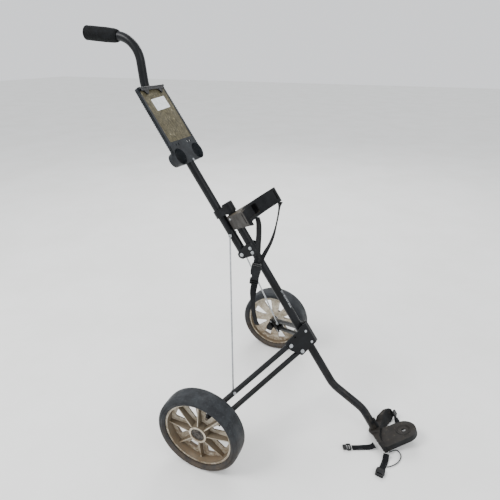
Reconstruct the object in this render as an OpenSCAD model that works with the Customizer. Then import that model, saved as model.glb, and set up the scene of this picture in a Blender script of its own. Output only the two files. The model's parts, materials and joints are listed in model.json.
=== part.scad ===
// Two-wheel folding golf pull cart, in millimetres.
// +Z is up, +X points from the wheels to the bag ledge, and the near side is -Y.
// The origin is on the ground, in the middle of the cart's length and width.

/* [Tubes] */
// Outer diameter of the main and handle tubes
tube_d = 25.4; // [22:0.1:31]
// Wall of the main and handle tubes
tube_wall = 1.5; // [1:0.1:2.5]
// Lean of the main tube from upright, in degrees
lean = 33; // [27:1:40]
// Top end of the main tube, along the tube
main_top = 600; // [595:1:720]
// Angle of the two kinks near the foot, in degrees
kink_angle = 24.5; // [18:0.5:30]
// Offset of the foot stretch from the main tube's axis
kink_offset = 50; // [40:1:60]

/* [Wheels] */
// Diameter of each wheel
wheel_d = 254; // [210:1:310]
// Width of each tyre
tyre_w = 63.6; // [53:0.1:80]
// Height of the tyre's section
tyre_h = 25; // [20:1:31]
// Wall of the hollow tyre
tyre_wall = 4; // [3:0.5:5]
// Number of spokes
spoke_count = 8; // [6:1:10]
// Diameter of the axles
axle_d = 12; // [10:0.5:15]

/* [Legs] */
// Distance between the two pivots of each leg
leg_span = 300; // [250:1:360]
// Slope of the legs below square to the main tube, in degrees
leg_slope = 5.16; // [3:0.01:8]
// Outer diameter of the leg tubes
leg_d = 16; // [13:0.1:19.2]
// Wall of the leg tubes
leg_wall = 1.2; // [0.8:0.1:2]
// Upper leg pivot, out from the main tube's axis
leg_pivot_out = 59; // [50:1:70]
// Upper leg pivot, along the main tube
leg_pivot_z = 150; // [130:1:180]
// Diameter of the two lift rods
rod_d = 5; // [4:0.1:6]

/* [Handle] */
// Distance between the axes of the main and handle tubes
handle_gap = 37; // [34:0.1:45]
// Fold pivot, along the main tube
fold_z = 461; // [430:1:480]
// Handle tube from the fold pivot to the first bend
handle_rise = 563.5; // [500:0.5:680]
// Handle tube between its two bends
handle_neck = 127.6; // [110:0.1:155]
// Bare tube between the second bend and the grip
grip_gap = 1.4; // [0.5:0.1:40]
// Diameter of the grip
grip_d = 40; // [34:0.5:48]
// Length of the grip
grip_l = 106; // [86:1:130]

/* [Console] */
// Width of the console across the ball cups
console_w = 140; // [126:1:168]
// Height of the console
console_h = 242; // [205:1:290]
// Thickness of the console's skin
console_skin = 2.5; // [2:0.1:4]
// Mouth diameter of the ball cups
cup_d = 49; // [46:0.5:52]

/* [Bag supports] */
// Radius of the bag that the saddles hold
bag_r = 149; // [125:1:180]
// Height of the upper cradle
cradle_h = 43; // [36:1:52]
// Lower face of the upper cradle, along the main tube
cradle_z = 541; // [535:1:545]
// Reach of the bag ledge from the foot of the tube
ledge_reach = 121; // [100:1:145]
// Width of the bag ledge
ledge_w = 78; // [64:1:94]
// Diameter of the hole in the bag ledge
ledge_hole_d = 12; // [10:0.5:15]

/* [Hidden] */
$fn = 48;
fit = 0.05;            // radial clearance of pins, bolts and bushes
gap = 0.3;             // clearance between faces that slide past each other
cut = 1;               // how far a cutting shape passes a face
bend_lap = 1;          // straights of a tube run lap over its bends
bend_step = 0.2;       // bends are this much thinner
tube_r = tube_d / 2;
wheel_r = wheel_d / 2;

// Leg frame: x runs out along the leg, y is square to the plane of the legs, z is up the tube.
plane_turn = 225;
leg_r = leg_d / 2;
leg_mid = tube_r + 1.8;              // plane of the leg axes, off the main tube's axis
leg_gap = 2;                         // washer room on each side of a leg
sheet_t = 2;                         // steel sheet of the brackets
leg_tail = 8;                        // tube past each pivot
pair_x = 22;                         // lower pivot, inward of the upper pivot
pair_z = 35;                         // lower pivot, below the upper pivot
leg_dir = [cos(leg_slope), -sin(leg_slope)];
pivot_a = [leg_pivot_out, leg_pivot_z];
pivot_b = pivot_a - [pair_x, pair_z];
hub_a = pivot_a + leg_span * leg_dir;
hub_b = pivot_b + leg_span * leg_dir;
bolt_r = 3;
rod_foot = pivot_a + 218.5 * leg_dir;
rod_side = leg_mid - leg_r - 3;      // plane of the rod's lower eye

// Tube frame: x is square to the main tube towards the bag, z is up the tube.
axle_back = 23.1;                    // axle behind the upper hub pivot
axle_drop = 16.5;                    // axle below the upper hub pivot
axle_x = (leg_mid - hub_a[0]) / sqrt(2) - axle_back;
axle_z = hub_a[1] - axle_drop;
hub_y = (hub_a[0] + leg_mid) / sqrt(2);
boss_in = hub_y - 19.2;
boss_out = hub_y + 17.8;
wheel_in = boss_out + 3;             // inner face of the tyre
wheel_y = wheel_in + tyre_w / 2;
foot_lift = 1.5;                     // lowest point of the tube's end above the ground
foot_z = axle_z + (foot_lift + tube_r * sin(lean) - wheel_r - (kink_offset - axle_x) * sin(lean)) / cos(lean);
kink_r = 90;
kink_z = -157;                       // corner of the lower kink
kink_cut = kink_r * tan(kink_angle / 2);
kink_run = kink_offset / sin(kink_angle);
kink_top = kink_z + kink_run * cos(kink_angle);
main_steps = [
  [kink_z - kink_cut - foot_z],
  [-kink_angle, kink_r],
  [kink_run - 2 * kink_cut],
  [kink_angle, kink_r],
  [main_top - kink_top - kink_cut]
];

// Handle
handle_x = -handle_gap;
stub = 14;                           // handle tube below the fold pivot
bend_1 = -27.4;
bend_2 = 79.4;
bend_1_r = 60;
bend_2_r = 73;
cut_1 = bend_1_r * tan(-bend_1 / 2);
cut_2 = bend_2_r * tan(bend_2 / 2);
handle_steps = [
  [stub + handle_rise - cut_1],
  [-bend_1, bend_1_r],
  [handle_neck - cut_1 - cut_2],
  [-bend_2, bend_2_r],
  [grip_gap + grip_l]
];
rod_lift = 68;                       // rod pin above the fold pivot
rod_pin_z = fold_z + rod_lift;
rod_pin_r = 2.5;
rod_top_y = tube_r + 5.3;
plate_y = tube_r + gap;              // inner face of a hinge plate
plate_t = 2.5;
hinge_rivet_r = 3;

// Console, on the front of the handle tube
panel_x = handle_x + tube_r + console_skin + gap;
panel_z = fold_z + 314;
panel_top = panel_z + console_h;
panel_wall = 10;
corner_r = 26;
cup_y = console_w / 2 - 22;
cup_z = panel_z + 25;
cup_back_d = cup_d - 11;
cup_depth = 30;
cup_wall = 1.6;
card_half = console_w / 2 - 11;
card_low = panel_z + 71;
card_high = panel_top - 11;
card_t = 1;
clip_x = panel_x + 3.2;
clip_z = panel_top - 4;
clip_pin_r = 1.5;
clip_half = console_w / 2 - 13;

// Saddles
cradle_top = cradle_z + cradle_h;
cradle_tip = [109, 113];
cradle_arc = cradle_tip[0] + sqrt(bag_r * bag_r - cradle_tip[1] * cradle_tip[1]);
lower_tip = [46, 82];
lower_arc = lower_tip[0] + sqrt(bag_r * bag_r - lower_tip[1] * lower_tip[1]);
root_near = [34, -64, 12];            // near and middle ends of the ledge's root
root_mid = [22, -2, 10];
ground_gap = 3;
ledge_x = 6;
ledge_z = -2;
ledge_drop = 12;                     // ledge below square to the tube, in degrees
ledge_t = 4;
ledge_skirt = 17;
ledge_tilt = lean - ledge_drop;
dish_x = ledge_reach - ledge_w / 2;
dish_r = 20;

// Ends of the cart along X, measured from the axles
function along_x(x, z) = (x - axle_x) * cos(lean) - (z - axle_z) * sin(lean);
function above_ground(x, z) = wheel_r + (x - axle_x) * sin(lean) + (z - axle_z) * cos(lean);
neck_angle = 90 + lean + bend_1;
grip_angle = neck_angle + bend_2;
grip_cap_l = 5;
grip_end = along_x(handle_x, fold_z + handle_rise) + handle_neck * cos(neck_angle)
  + (cut_2 + grip_gap + grip_l + grip_cap_l) * cos(grip_angle) - (grip_d / 2 - 3) * sin(180 - grip_angle);
ledge_end = along_x(kink_offset + ledge_x, foot_z + ledge_z)
  + ledge_reach * cos(ledge_tilt) + ledge_skirt * sin(ledge_tilt);
x_shift = -(grip_end + ledge_end) / 2;

// Webbing routes on the ground frame: place, then the direction across the band.
// x is measured from the wheel axles.
upper_web = 20;
lower_web = 18;
web_t = 1.6;
loop_d = 3;
near_route = [
  [[86, -110, 715], [0.9, -0.4, 0.1]], [[89, -109, 704], [0.9, -0.4, 0]], [[90, -107, 692], [0.9, -0.4, 0]],
  [[89, -104, 678], [0.9, -0.4, 0]], [[87, -99, 660], [0.9, -0.4, 0]],
  [[84, -94, 640], [0.9, -0.4, 0]], [[81, -88, 618], [0.9, -0.4, 0]], [[78, -82, 596], [0.9, -0.4, 0]],
  [[74, -76, 575], [0.95, -0.1, 0]], [[71, -72, 559], [1, 0.2, 0]]
];
far_route = [
  [[72, 116, 688], [0.5, -0.2, -0.8]], [[72, 112, 672], [0.5, -0.6, 0.4]], [[73, 100, 650], [0.5, -0.7, 0.5]],
  [[74, 80, 624], [0.5, -0.7, 0.5]], [[75, 54, 600], [0.6, -0.6, 0.4]], [[75, 26, 583], [0.7, -0.5, 0.4]],
  [[73, -4, 570], [0.8, -0.4, 0.3]], [[71, -32, 556], [0.9, -0.4, 0.3]], [[67, -50, 536], [1, -0.1, 0.2]],
  [[64, -63, 510], [1, 0.3, 0]], [[61, -65, 486], [1, 0.3, 0]], [[57, -66, 460], [1, 0, 0]],
  [[57, -68, 430], [0.9, -0.4, 0]], [[59, -69, 400], [0.9, -0.4, 0]], [[65, -70, 372], [0.9, -0.4, 0.1]],
  [[72, -71, 350], [0.9, -0.4, 0.2]]
];
rear_route = [
  [[462, -70, 14], [0.3, 0.6, 0.8]], [[452, -74, 6], [0.3, 0.8, 0.4]], [[440, -78, 3], [0.3, 1, 0.1]],
  [[427, -84, 3], [0.3, 1, 0]], [[414, -90, 3], [0.3, 1, 0]], [[400, -96, 3], [0.3, 1, 0]]
];
front_route = [
  [[500, -89, 13], [1, 0.1, 0.4]], [[500, -94, 8], [1, 0, 0.2]], [[500, -104, 4], [1, 0, 0]],
  [[499, -116, 3], [1, 0, 0]], [[497, -128, 3], [1, 0.1, 0]], [[494, -143, 3], [1, 0.2, 0]]
];
wing_route = [
  [[509, 77, 10], [0, 1, 0]], [[514, 69, 6], [0.3, 0.9, 0]], [[518, 61, 4], [0.5, 0.8, 0]],
  [[523, 54, 3], [0.6, 0.8, 0]], [[530, 45, 3], [0.7, 0.7, 0]], [[536, 37, 3], [0.7, 0.7, 0]]
];
loop_route = [
  [508, -78, 12], [518, -62, 6], [528, -54, 3], [536, -60, 3], [541, -70, 3], [541, -82, 3], [537, -95, 3],
  [530, -107, 3], [520, -118, 3], [509, -127, 3]
];

// ---- Outlines ----

// Direction of the outer tangent between two circles [x, y, r] of a counter-clockwise belt
function tangent(p, q) =
  atan2(q[1] - p[1], q[0] - p[0]) - acos((p[2] - q[2]) / norm([q[0] - p[0], q[1] - p[1]]));

// Outline of a belt round circles [x, y, r], given counter-clockwise
function belt(c, step = 12) = [
  for (i = [0:len(c) - 1])
    let (
      start = tangent(c[(i + len(c) - 1) % len(c)], c[i]),
      turn = (tangent(c[i], c[(i + 1) % len(c)]) - start + 720) % 360,
      n = max(1, ceil(turn / step))
    )
    for (k = [0:n]) [c[i][0], c[i][1]] + c[i][2] * [cos(start + turn * k / n), sin(start + turn * k / n)]
];

function unit(v) = v / norm(v);

// Arc that rounds the corner p between its neighbours a and b
function corner(a, p, b, r, step) =
  let (
    u = unit(a - p), v = unit(b - p), half = acos(u * v) / 2, c = p + unit(u + v) * r / sin(half),
    s = p + u * r / tan(half) - c, e = p + v * r / tan(half) - c, from = atan2(s[1], s[0]),
    turn = ((atan2(e[1], e[0]) - from + 900) % 360) - 180, n = max(1, ceil(abs(turn) / step))
  )
  [for (k = [0:n]) c + r * [cos(from + turn * k / n), sin(from + turn * k / n)]];

// Polygon with its corners [x, y, r] rounded
function rounded(p, step = 15) = [
  for (i = [0:len(p) - 1])
    let (n = len(p), a = p[(i + n - 1) % n], b = p[(i + 1) % n])
    each corner([a[0], a[1]], [p[i][0], p[i][1]], [b[0], b[1]], p[i][2], step)
];

// ---- Frames ----

module on_ground() {
  translate([x_shift, 0, 0]) children();
}

module on_tube() {
  translate([x_shift, 0, wheel_r]) rotate([0, -lean, 0]) translate([-axle_x, 0, -axle_z]) children();
}

module on_side(far) {
  if (far) mirror([0, 1, 0]) children();
  else children();
}

module on_leg(far) {
  on_tube() on_side(far) rotate([0, 0, plane_turn]) children();
}

// z runs outwards along the axle, from the middle of the wheel
module on_wheel(far) {
  translate([x_shift, 0, wheel_r]) on_side(far) translate([0, -wheel_y, 0]) rotate([90, 0, 0]) children();
}

module on_foot() {
  on_tube() translate([kink_offset, 0, foot_z]) children();
}

module on_ledge() {
  on_foot() translate([ledge_x, 0, ledge_z]) rotate([0, ledge_drop, 0]) children();
}

// Outlines lie across and up the console, and z is out of its face
module on_panel() {
  on_tube() translate([panel_x, 0, 0]) rotate([90, 0, 90]) children();
}

// ---- Building blocks ----

// Cylinder along y from y0 to y1
module cross_pin(x, z, y0, y1, r, sides = 48) {
  translate([x, y0, z]) rotate([-90, 0, 0]) cylinder(r = r, h = y1 - y0, $fn = sides);
}

// Outline in x and z, from y0 to y1
module cross_plate(y0, y1) {
  translate([0, y1, 0]) rotate([90, 0, 0]) linear_extrude(y1 - y0) children();
}

module box(low, high) {
  translate(low) cube(high - low);
}

// Straight bar between two points
module bar(p, q, d) {
  v = q - p;
  translate(p) rotate([0, acos(v[2] / norm(v)), atan2(v[1], v[0])]) cylinder(d = d, h = norm(v));
}

// Puts its children at the end of a run of straights [length] and bends [angle, radius]
module follow(steps, i = 0) {
  if (i == len(steps)) children();
  else if (len(steps[i]) == 1) translate([0, 0, steps[i][0]]) follow(steps, i + 1) children();
  else {
    angle = steps[i][0];
    r = steps[i][1];
    translate([sign(angle) * r * (1 - cos(angle)), 0, r * sin(abs(angle))]) rotate([0, angle, 0])
      follow(steps, i + 1) children();
  }
}

// One straight or bend of a tube run. A bend is a hair thinner, and the straights lap over its ends.
module run_piece(step, d, low, high) {
  if (len(step) == 1) translate([0, 0, -low]) cylinder(d = d, h = step[0] + low + high);
  else {
    angle = abs(step[0]);
    mirror([step[0] < 0 ? 1 : 0, 0, 0]) translate([step[1], 0, 0]) rotate([90, 0, 0])
      rotate([0, 0, 180 - angle]) rotate_extrude(angle = angle) translate([step[1], 0]) circle(d = d - bend_step);
  }
}

module run_solid(steps, d, past) {
  last = len(steps) - 1;
  for (i = [0:last]) follow([for (k = [0:1:i - 1]) steps[k]])
    run_piece(steps[i], d, i == 0 ? past : bend_lap, i == last ? past : bend_lap);
}

// Bent tube: its steps start and end with a straight
module tube_run(steps, d, wall) {
  difference() {
    run_solid(steps, d, 0);
    run_solid(steps, d - 2 * wall, cut);
  }
}

module straight_tube(length, d, wall) {
  tube_run([[length]], d, wall);
}

// Flat band swept along a route of [place, direction across]
function band_ring(route, i, width, thick) =
  let (
    n = len(route), along = unit(route[min(i + 1, n - 1)][0] - route[max(i - 1, 0)][0]),
    face = unit(cross(along, route[i][1])), side = cross(face, along)
  )
  [for (k = [[-1, -1], [1, -1], [1, 1], [-1, 1]]) route[i][0] + k[0] * side * width / 2 + k[1] * face * thick / 2];

module band(route, width, thick) {
  n = len(route);
  last = 4 * (n - 1);
  polyhedron(
    points = [for (i = [0:n - 1]) each band_ring(route, i, width, thick)],
    faces = concat(
      [[0, 1, 2], [0, 2, 3], [last, last + 2, last + 1], [last, last + 3, last + 2]],
      [for (i = [0:n - 2], k = [0:3]) [4 * i + k, 4 * i + 4 + k, 4 * i + (k + 1) % 4]],
      [for (i = [0:n - 2], k = [0:3]) [4 * i + 4 + k, 4 * i + 4 + (k + 1) % 4, 4 * i + (k + 1) % 4]]
    )
  );
}

// Round cord swept along a route of places
function cord_ring(route, i, d, sides) =
  let (
    n = len(route), along = unit(route[min(i + 1, n - 1)] - route[max(i - 1, 0)]),
    side = unit(cross(along, [0, 0, 1])), face = cross(side, along)
  )
  [for (k = [0:sides - 1]) route[i] + d / 2 * (cos(360 * k / sides) * side + sin(360 * k / sides) * face)];

module cord(route, d, sides = 8) {
  n = len(route);
  polyhedron(
    points = [for (i = [0:n - 1]) each cord_ring(route, i, d, sides)],
    faces = concat(
      [[for (k = [sides - 1:-1:0]) k], [for (k = [0:sides - 1]) sides * (n - 1) + k]],
      [for (i = [0:n - 2], k = [0:sides - 1])
        [sides * i + k, sides * i + (k + 1) % sides, sides * (i + 1) + k]],
      [for (i = [0:n - 2], k = [0:sides - 1])
        [sides * i + (k + 1) % sides, sides * (i + 1) + (k + 1) % sides, sides * (i + 1) + k]]
    )
  );
}

// ---- Frame ----

module main_tube() {
  color("#1b1c1e") on_tube() difference() {
    translate([kink_offset, 0, foot_z]) tube_run(main_steps, tube_d, tube_wall);
    for (z = hinge_rivet_z) cross_pin(0, z, -tube_d, tube_d, hinge_rivet_r + fit);
  }
}
hinge_rivet_z = [fold_z - 8, fold_z + 7];

// Cap with a cradle that the handle tube snaps into
module tube_cap() {
  cap_r = tube_r + 4.3;
  arm_low = main_top - 9;
  arm_high = main_top + 15;
  seat_r = tube_r + gap;
  color("#17181a") on_tube() difference() {
    union() {
      translate([0, 0, main_top - 11]) cylinder(r = cap_r, h = 30);
      translate([0, 0, main_top + 19]) cylinder(r1 = cap_r, r2 = cap_r - 2, h = 2);
      box([handle_x - 3, -seat_r - 4, arm_low], [0, seat_r + 4, arm_high]);
    }
    translate([0, 0, main_top - 12]) cylinder(r = tube_r + fit, h = 12);
    translate([handle_x, 0, arm_low - cut]) cylinder(r = seat_r, h = arm_high - arm_low + 2 * cut);
    box([handle_x - tube_d, -seat_r, arm_low - cut], [handle_x, seat_r, arm_high + cut]);
  }
}

module hinge_plate(far) {
  color("#1f2022") on_tube() on_side(far) difference() {
    cross_plate(-plate_y - plate_t, -plate_y) polygon(belt([
      [handle_x, fold_z, tube_r], [3, fold_z - 9, 9], [5, fold_z + 12, 9], [-8, fold_z + 14, 9]
    ]));
    for (z = hinge_rivet_z) cross_pin(0, z, -tube_d, 0, hinge_rivet_r + fit);
    cross_pin(handle_x, fold_z, -tube_d, 0, hinge_rivet_r + fit);
  }
}

// Rivet along y with a low round head on each side
module rivet(x, z, reach, r, head_r, head_h) {
  cross_pin(x, z, -reach, reach, r);
  for (far = [false, true]) on_side(far) intersection() {
    cross_pin(x, z, -reach - 2 * head_h, -reach, head_r);
    translate([x, -reach + head_r * 1.6, z]) sphere(r = head_r * 1.6 + head_h);
  }
}

module hinge_rivets() {
  color("#c9cacc") on_tube() for (z = hinge_rivet_z) rivet(0, z, plate_y + plate_t, hinge_rivet_r, 5.5, 2);
}

module handle_pivot_pin() {
  color("#c9cacc") on_tube() rivet(handle_x, fold_z, plate_y + plate_t, hinge_rivet_r, 6, 2.2);
}

// ---- Upper cradle ----

module cradle_pocket(low, high) {
  edge = 4;
  difference() {
    translate([0, 0, cradle_z - cut]) linear_extrude(cradle_h - edge + cut) polygon([
      [9 + (low - 30) * 1.16, low], [9 + (high - 30) * 1.16, high], [cradle_arc, high], [cradle_arc, low]
    ]);
    translate([cradle_arc, 0, cradle_z - 2 * cut]) cylinder(r = bag_r + edge, h = cradle_h + 4 * cut);
  }
}

module upper_cradle() {
  tip = cradle_tip;
  wing = [tip[0] - 9, tip[1] + 5];
  flange = 4;
  lip = 2.5;
  color("#2a2826") on_tube() difference() {
    union() {
      translate([0, 0, cradle_z]) linear_extrude(cradle_h) polygon(rounded([
        [-16, -15, 6], [-2, -30, 3], [wing[0], -wing[1], 2], [tip[0], -tip[1], 1],
        [tip[0], tip[1], 1], [wing[0], wing[1], 2], [-2, 30, 3], [-16, 15, 6]
      ]));
      intersection() {
        translate([0, 0, cradle_z - lip]) linear_extrude(cradle_h + 2 * lip) polygon([
          [cradle_arc - bag_r - flange - cut, -70], [wing[0] + 2, -wing[1]], [tip[0], -tip[1]],
          [tip[0], tip[1]], [wing[0] + 2, wing[1]], [cradle_arc - bag_r - flange - cut, 70]
        ]);
        translate([cradle_arc, 0, cradle_z - lip]) cylinder(r = bag_r + flange, h = cradle_h + 2 * lip, $fn = 96);
      }
    }
    translate([cradle_arc, 0, cradle_z - 4 * lip]) cylinder(r = bag_r, h = cradle_h + 8 * lip, $fn = 96);
    translate([0, 0, cradle_z - cut]) cylinder(r = tube_r + fit, h = cradle_h + 2 * cut);
    translate([cradle_arc - bag_r - flange + cut, 0, 0]) rotate([90, 0, 90]) linear_extrude(4 * flange)
      polygon(rounded([[-42, cradle_z + 7, 6], [42, cradle_z + 7, 6], [42, cradle_z + 37, 6], [-42, cradle_z + 37, 6]]));
    for (far = [false, true]) on_side(far) {
      box([tip[0] - 40, -tip[1] + 3, cradle_z + 9], [tip[0] + 10, -tip[1] + 7, cradle_z + 37]);
      cross_pin(5, cradle_top - 9, -45, -tube_r, 1.6 + fit);
      cross_pin(5, cradle_top - 9, -60, -34, 3.2 + fit);
      for (y = [24, 47]) mirror([0, 1, 0]) cradle_pocket(y, y + 20);
      mirror([0, 1, 0]) cradle_pocket(70, 88);
    }
  }
}

module cradle_screws() {
  color("#a9abad") on_tube() for (far = [false, true]) on_side(far) {
    cross_pin(5, cradle_top - 9, -34, -tube_r - fit, 1.6);
    cross_pin(5, cradle_top - 9, -36.6, -34, 3.2);
  }
}

// ---- Leg brackets ----

outer_face = leg_mid + leg_r + leg_gap + sheet_t;
inner_face = leg_mid - leg_r - leg_gap - sheet_t;
front_fold = -16;
bracket_low = pivot_b[1] - 3;
bracket_high = pivot_a[1] + 32;
sheet_screw_z = [pivot_a[1] + 11, pivot_a[1] - 28];
sheet_screw_x = -4;

module leg_bracket_outer() {
  front_x = (outer_face - front_fold) / sqrt(2);
  color("#1d1e20") union() {
    for (far = [false, true]) on_leg(far) difference() {
      cross_plate(outer_face - sheet_t, outer_face) polygon(rounded([
        [front_fold, bracket_low, 1], [18, pivot_b[1] - 7, 8], [pivot_b[0] + 7, pivot_b[1] - 12, 8],
        [pivot_a[0] + 7, pivot_a[1] - 13, 12], [pivot_a[0] + 15, pivot_a[1] + 12, 8],
        [pivot_a[0] - 2, pivot_a[1] + 19, 12], [18, pivot_a[1] + 23, 10], [3, bracket_high, 6],
        [front_fold, bracket_high, 1]
      ]));
      for (p = [pivot_a, pivot_b]) cross_pin(p[0], p[1], 0, 2 * outer_face, bolt_r + fit);
      for (z = sheet_screw_z) cross_pin(sheet_screw_x, z, 0, 2 * outer_face, 2 + fit);
      cross_pin(34, pivot_a[1] + 13, 0, 2 * outer_face, 3.2);
    }
    on_tube() box(
      [front_x - sheet_t, -front_x + outer_face * sqrt(2) - 15, bracket_low + 0.5],
      [front_x, front_x - outer_face * sqrt(2) + 15, bracket_high - 0.5]
    );
  }
}

module leg_bracket_inner() {
  color("#1d1e20") union() {
    for (far = [false, true]) on_leg(far) difference() {
      cross_plate(inner_face, inner_face + sheet_t) polygon(belt([
        [tube_r + 6, pivot_b[1] + 2, 6], [pivot_b[0], pivot_b[1], 10], [pivot_a[0], pivot_a[1], 10],
        [tube_r + 6, pivot_a[1] + 10, 6]
      ]));
      for (p = [pivot_a, pivot_b]) cross_pin(p[0], p[1], -tube_d, tube_d, bolt_r + fit);
      translate([0, 0, pivot_b[1] - 20]) cylinder(r = tube_r + fit, h = 100);
    }
    on_tube() translate([0, 0, pivot_b[1]]) difference() {
      cylinder(r = tube_r + 2.5, h = pair_z + 8);
      translate([0, 0, -cut]) cylinder(r = tube_r + fit, h = pair_z + 8 + 2 * cut);
      box([-3, -tube_d, -cut], [tube_d, tube_d, pair_z + 8 + 2 * cut]);
    }
  }
}

module leg_bracket_screws() {
  spacer_in = sqrt(tube_r * tube_r - sheet_screw_x * sheet_screw_x) + 0.6;
  color("#b9bbbd") for (far = [false, true]) on_leg(far) for (z = sheet_screw_z) {
    cross_pin(sheet_screw_x, z, outer_face, outer_face + 2.2, 4);
    cross_pin(sheet_screw_x, z, spacer_in + 1, outer_face, 2);
    cross_pin(sheet_screw_x, z, spacer_in, outer_face - sheet_t, 4);
  }
}

module leg_bolts(far) {
  color("#c4c6c8") on_leg(far) for (p = [pivot_a, pivot_b]) {
    cross_pin(p[0], p[1], inner_face - 4, outer_face, bolt_r);
    cross_pin(p[0], p[1], outer_face, outer_face + 3.2, 6);
    cross_pin(p[0], p[1], inner_face - 4, inner_face, 5.5, 6);
    cross_pin(p[0], p[1], outer_face - sheet_t - leg_gap + 0.2, outer_face - sheet_t, 6);
    cross_pin(p[0], p[1], inner_face + sheet_t, inner_face + sheet_t + leg_gap - 0.2, 6);
  }
}

// ---- Lower bracket ----

module ledge_outline(inset) {
  polygon(belt([for (c = [[dish_x, 0, ledge_w / 2], root_mid, root_near]) [c[0], c[1], c[2] - inset]]));
}

module ledge_body() {
  difference() {
    union() {
      translate([0, 0, -ledge_skirt]) linear_extrude(ledge_skirt) ledge_outline(0);
      translate([dish_x, 0, 0]) cylinder(r1 = dish_r + 3.5, r2 = dish_r + 1.5, h = 1.8);
    }
    translate([0, 0, -ledge_skirt - cut]) linear_extrude(ledge_skirt - ledge_t + cut) ledge_outline(3);
    translate([dish_x, 0, -1.4]) cylinder(r1 = dish_r - 4, r2 = dish_r + 0.6, h = 3.4);
    translate([dish_x, 0, -ledge_skirt]) cylinder(d = ledge_hole_d, h = 2 * ledge_skirt);
  }
}

foot_screw_z = 1.2;

module lower_bracket() {
  tip = lower_tip;
  front = [
    [-cut, 8], [16, 8], [21, 5], [30, 5], [43, 15.5], [68, 15.5], [76, 11], [90, -12], [90, -20],
    [60, -28], [30, -45], [-cut, -45]
  ];
  color("#232427") difference() {
    union() {
      on_foot() difference() {
        union() {
          intersection() {
            translate([0, 0, -45]) linear_extrude(65) polygon(rounded([
              [-17, -13, 5], [-5, -24, 3], [tip[0] - 8, -tip[1] - 5, 2], [tip[0], -tip[1], 1],
              [tip[0], tip[1], 1], [tip[0] - 8, tip[1] + 5, 2], [-5, 24, 3], [-17, 13, 5]
            ]));
            for (far = [false, true]) on_side(far) rotate([90, 0, 90]) translate([0, 0, -30])
              linear_extrude(100) polygon(front);
          }
          translate([tube_r + 1, 0, -10]) cylinder(r = 5, h = 50);
        }
        translate([lower_arc, 0, -60]) cylinder(r = bag_r, h = 120, $fn = 96);
        for (far = [false, true]) on_side(far)
          box([tip[0] - 40, -tip[1] + 3, -12], [tip[0] + 10, -tip[1] + 7, 2]);
      }
      on_ledge() ledge_body();
    }
    on_foot() translate([0, 0, -60]) cylinder(r = tube_r + fit, h = 120);
    on_foot() cross_pin(0, foot_screw_z, -40, 40, 2 + fit);
    on_foot() for (far = [false, true]) on_side(far) cross_pin(0, foot_screw_z, -60, -26, 3.2 + fit);
    on_ledge() translate([dish_x, 0, -2 * ledge_skirt]) cylinder(d = ledge_hole_d, h = 3 * ledge_skirt);
    on_ground() box([0, -200, -200], [900, 200, ground_gap]);
  }
}

module lower_bracket_screws() {
  color("#9a9c9e") on_foot() for (far = [false, true]) on_side(far) {
    cross_pin(0, foot_screw_z, -26, -tube_r - fit, 2);
    cross_pin(0, foot_screw_z, -29, -26, 3.2);
  }
}

module foot_plug() {
  color("#151618") difference() {
    on_foot() union() {
      translate([0, 0, -10]) cylinder(r = tube_r - 0.2, h = 10);
      cylinder(r = tube_r - tube_wall - fit, h = 15);
    }
    on_ground() box([0, -200, -200], [900, 200, 0]);
  }
}

// ---- Straps and buckles ----

module web_piece(route, width) {
  color("#121315") on_ground() band(route, width, web_t);
}

// Side-release buckle socket: width along x, thickness along y, pointing down z
module socket_body(w, l, t) {
  difference() {
    cross_plate(-t / 2, t / 2) polygon(rounded([
      [-w / 2, -l / 2, 3], [w / 2, -l / 2, 3], [w * 0.58, -l * 0.1, 8], [w / 2, l / 2, 4], [-w / 2, l / 2, 4],
      [-w * 0.58, -l * 0.1, 8]
    ]));
    box([-w / 2 + 3, -t / 2 + 2, -l], [w / 2 - 3, t / 2 - 2, l / 2 - 10]);
    box([-w / 2 + 3, -t, l / 2 - 7], [w / 2 - 3, t, l / 2 - 3]);
  }
}

// Side-release buckle plug: three prongs up, strap bar below
module plug_body(w, l, t) {
  difference() {
    cross_plate(-t / 2 + 2.2, t / 2 - 2.2) polygon(rounded([
      [-w / 2, -l / 2, 3], [w / 2, -l / 2, 3], [w / 2, 0, 3], [w * 0.36, 2, 2], [w * 0.36, l / 2, 2],
      [-w * 0.36, l / 2, 2], [-w * 0.36, 2, 2], [-w / 2, 0, 3]
    ]));
    for (z = [-l / 2 + 3, -l / 2 + 10]) box([-w / 2 + 3, -t, z], [w / 2 - 3, t, z + 4]);
  }
}

upper_buckle = [26, 36, 11];
lower_buckle = [23, 25, 9];

module at_upper_buckle() {
  on_ground() translate([66.5, -71, 530]) rotate([0, 8, 0]) rotate([0, 0, 17]) children();
}

module at_lower_plug() {
  on_ground() translate([384.5, -103, 6]) rotate([0, 0, -155]) rotate([0, 90, 0]) rotate([0, 0, 90]) children();
}

module at_lower_socket() {
  on_ground() translate([491.5, -157, 6]) rotate([0, 0, -100]) rotate([0, 90, 0]) rotate([0, 0, 90]) children();
}

module upper_buckle_socket() {
  color("#18191b") at_upper_buckle() translate([0, 0, 10]) socket_body(upper_buckle[0], upper_buckle[1], upper_buckle[2]);
}

module upper_buckle_plug() {
  color("#141517") at_upper_buckle() translate([0, 0, -22]) plug_body(upper_buckle[0], upper_buckle[1], upper_buckle[2]);
}

module lower_buckle_plug() {
  color("#2c2e31") at_lower_plug() plug_body(lower_buckle[0], lower_buckle[1], lower_buckle[2]);
}

module lower_buckle_socket() {
  color("#2c2e31") at_lower_socket() socket_body(lower_buckle[0], lower_buckle[1], lower_buckle[2]);
}

module cam_buckle() {
  color("#26282a") on_foot() translate([lower_tip[0] + 4, lower_tip[1] - 3, -16]) rotate([0, 0, 90]) difference() {
    cross_plate(-3, 3) polygon(rounded([[-11, -9, 3], [11, -9, 3], [11, 9, 3], [-11, 9, 3]]));
    box([-7, -5, -6], [-4, 5, 6]);
    box([3, -5, -6], [6, 5, 6]);
  }
}

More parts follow.
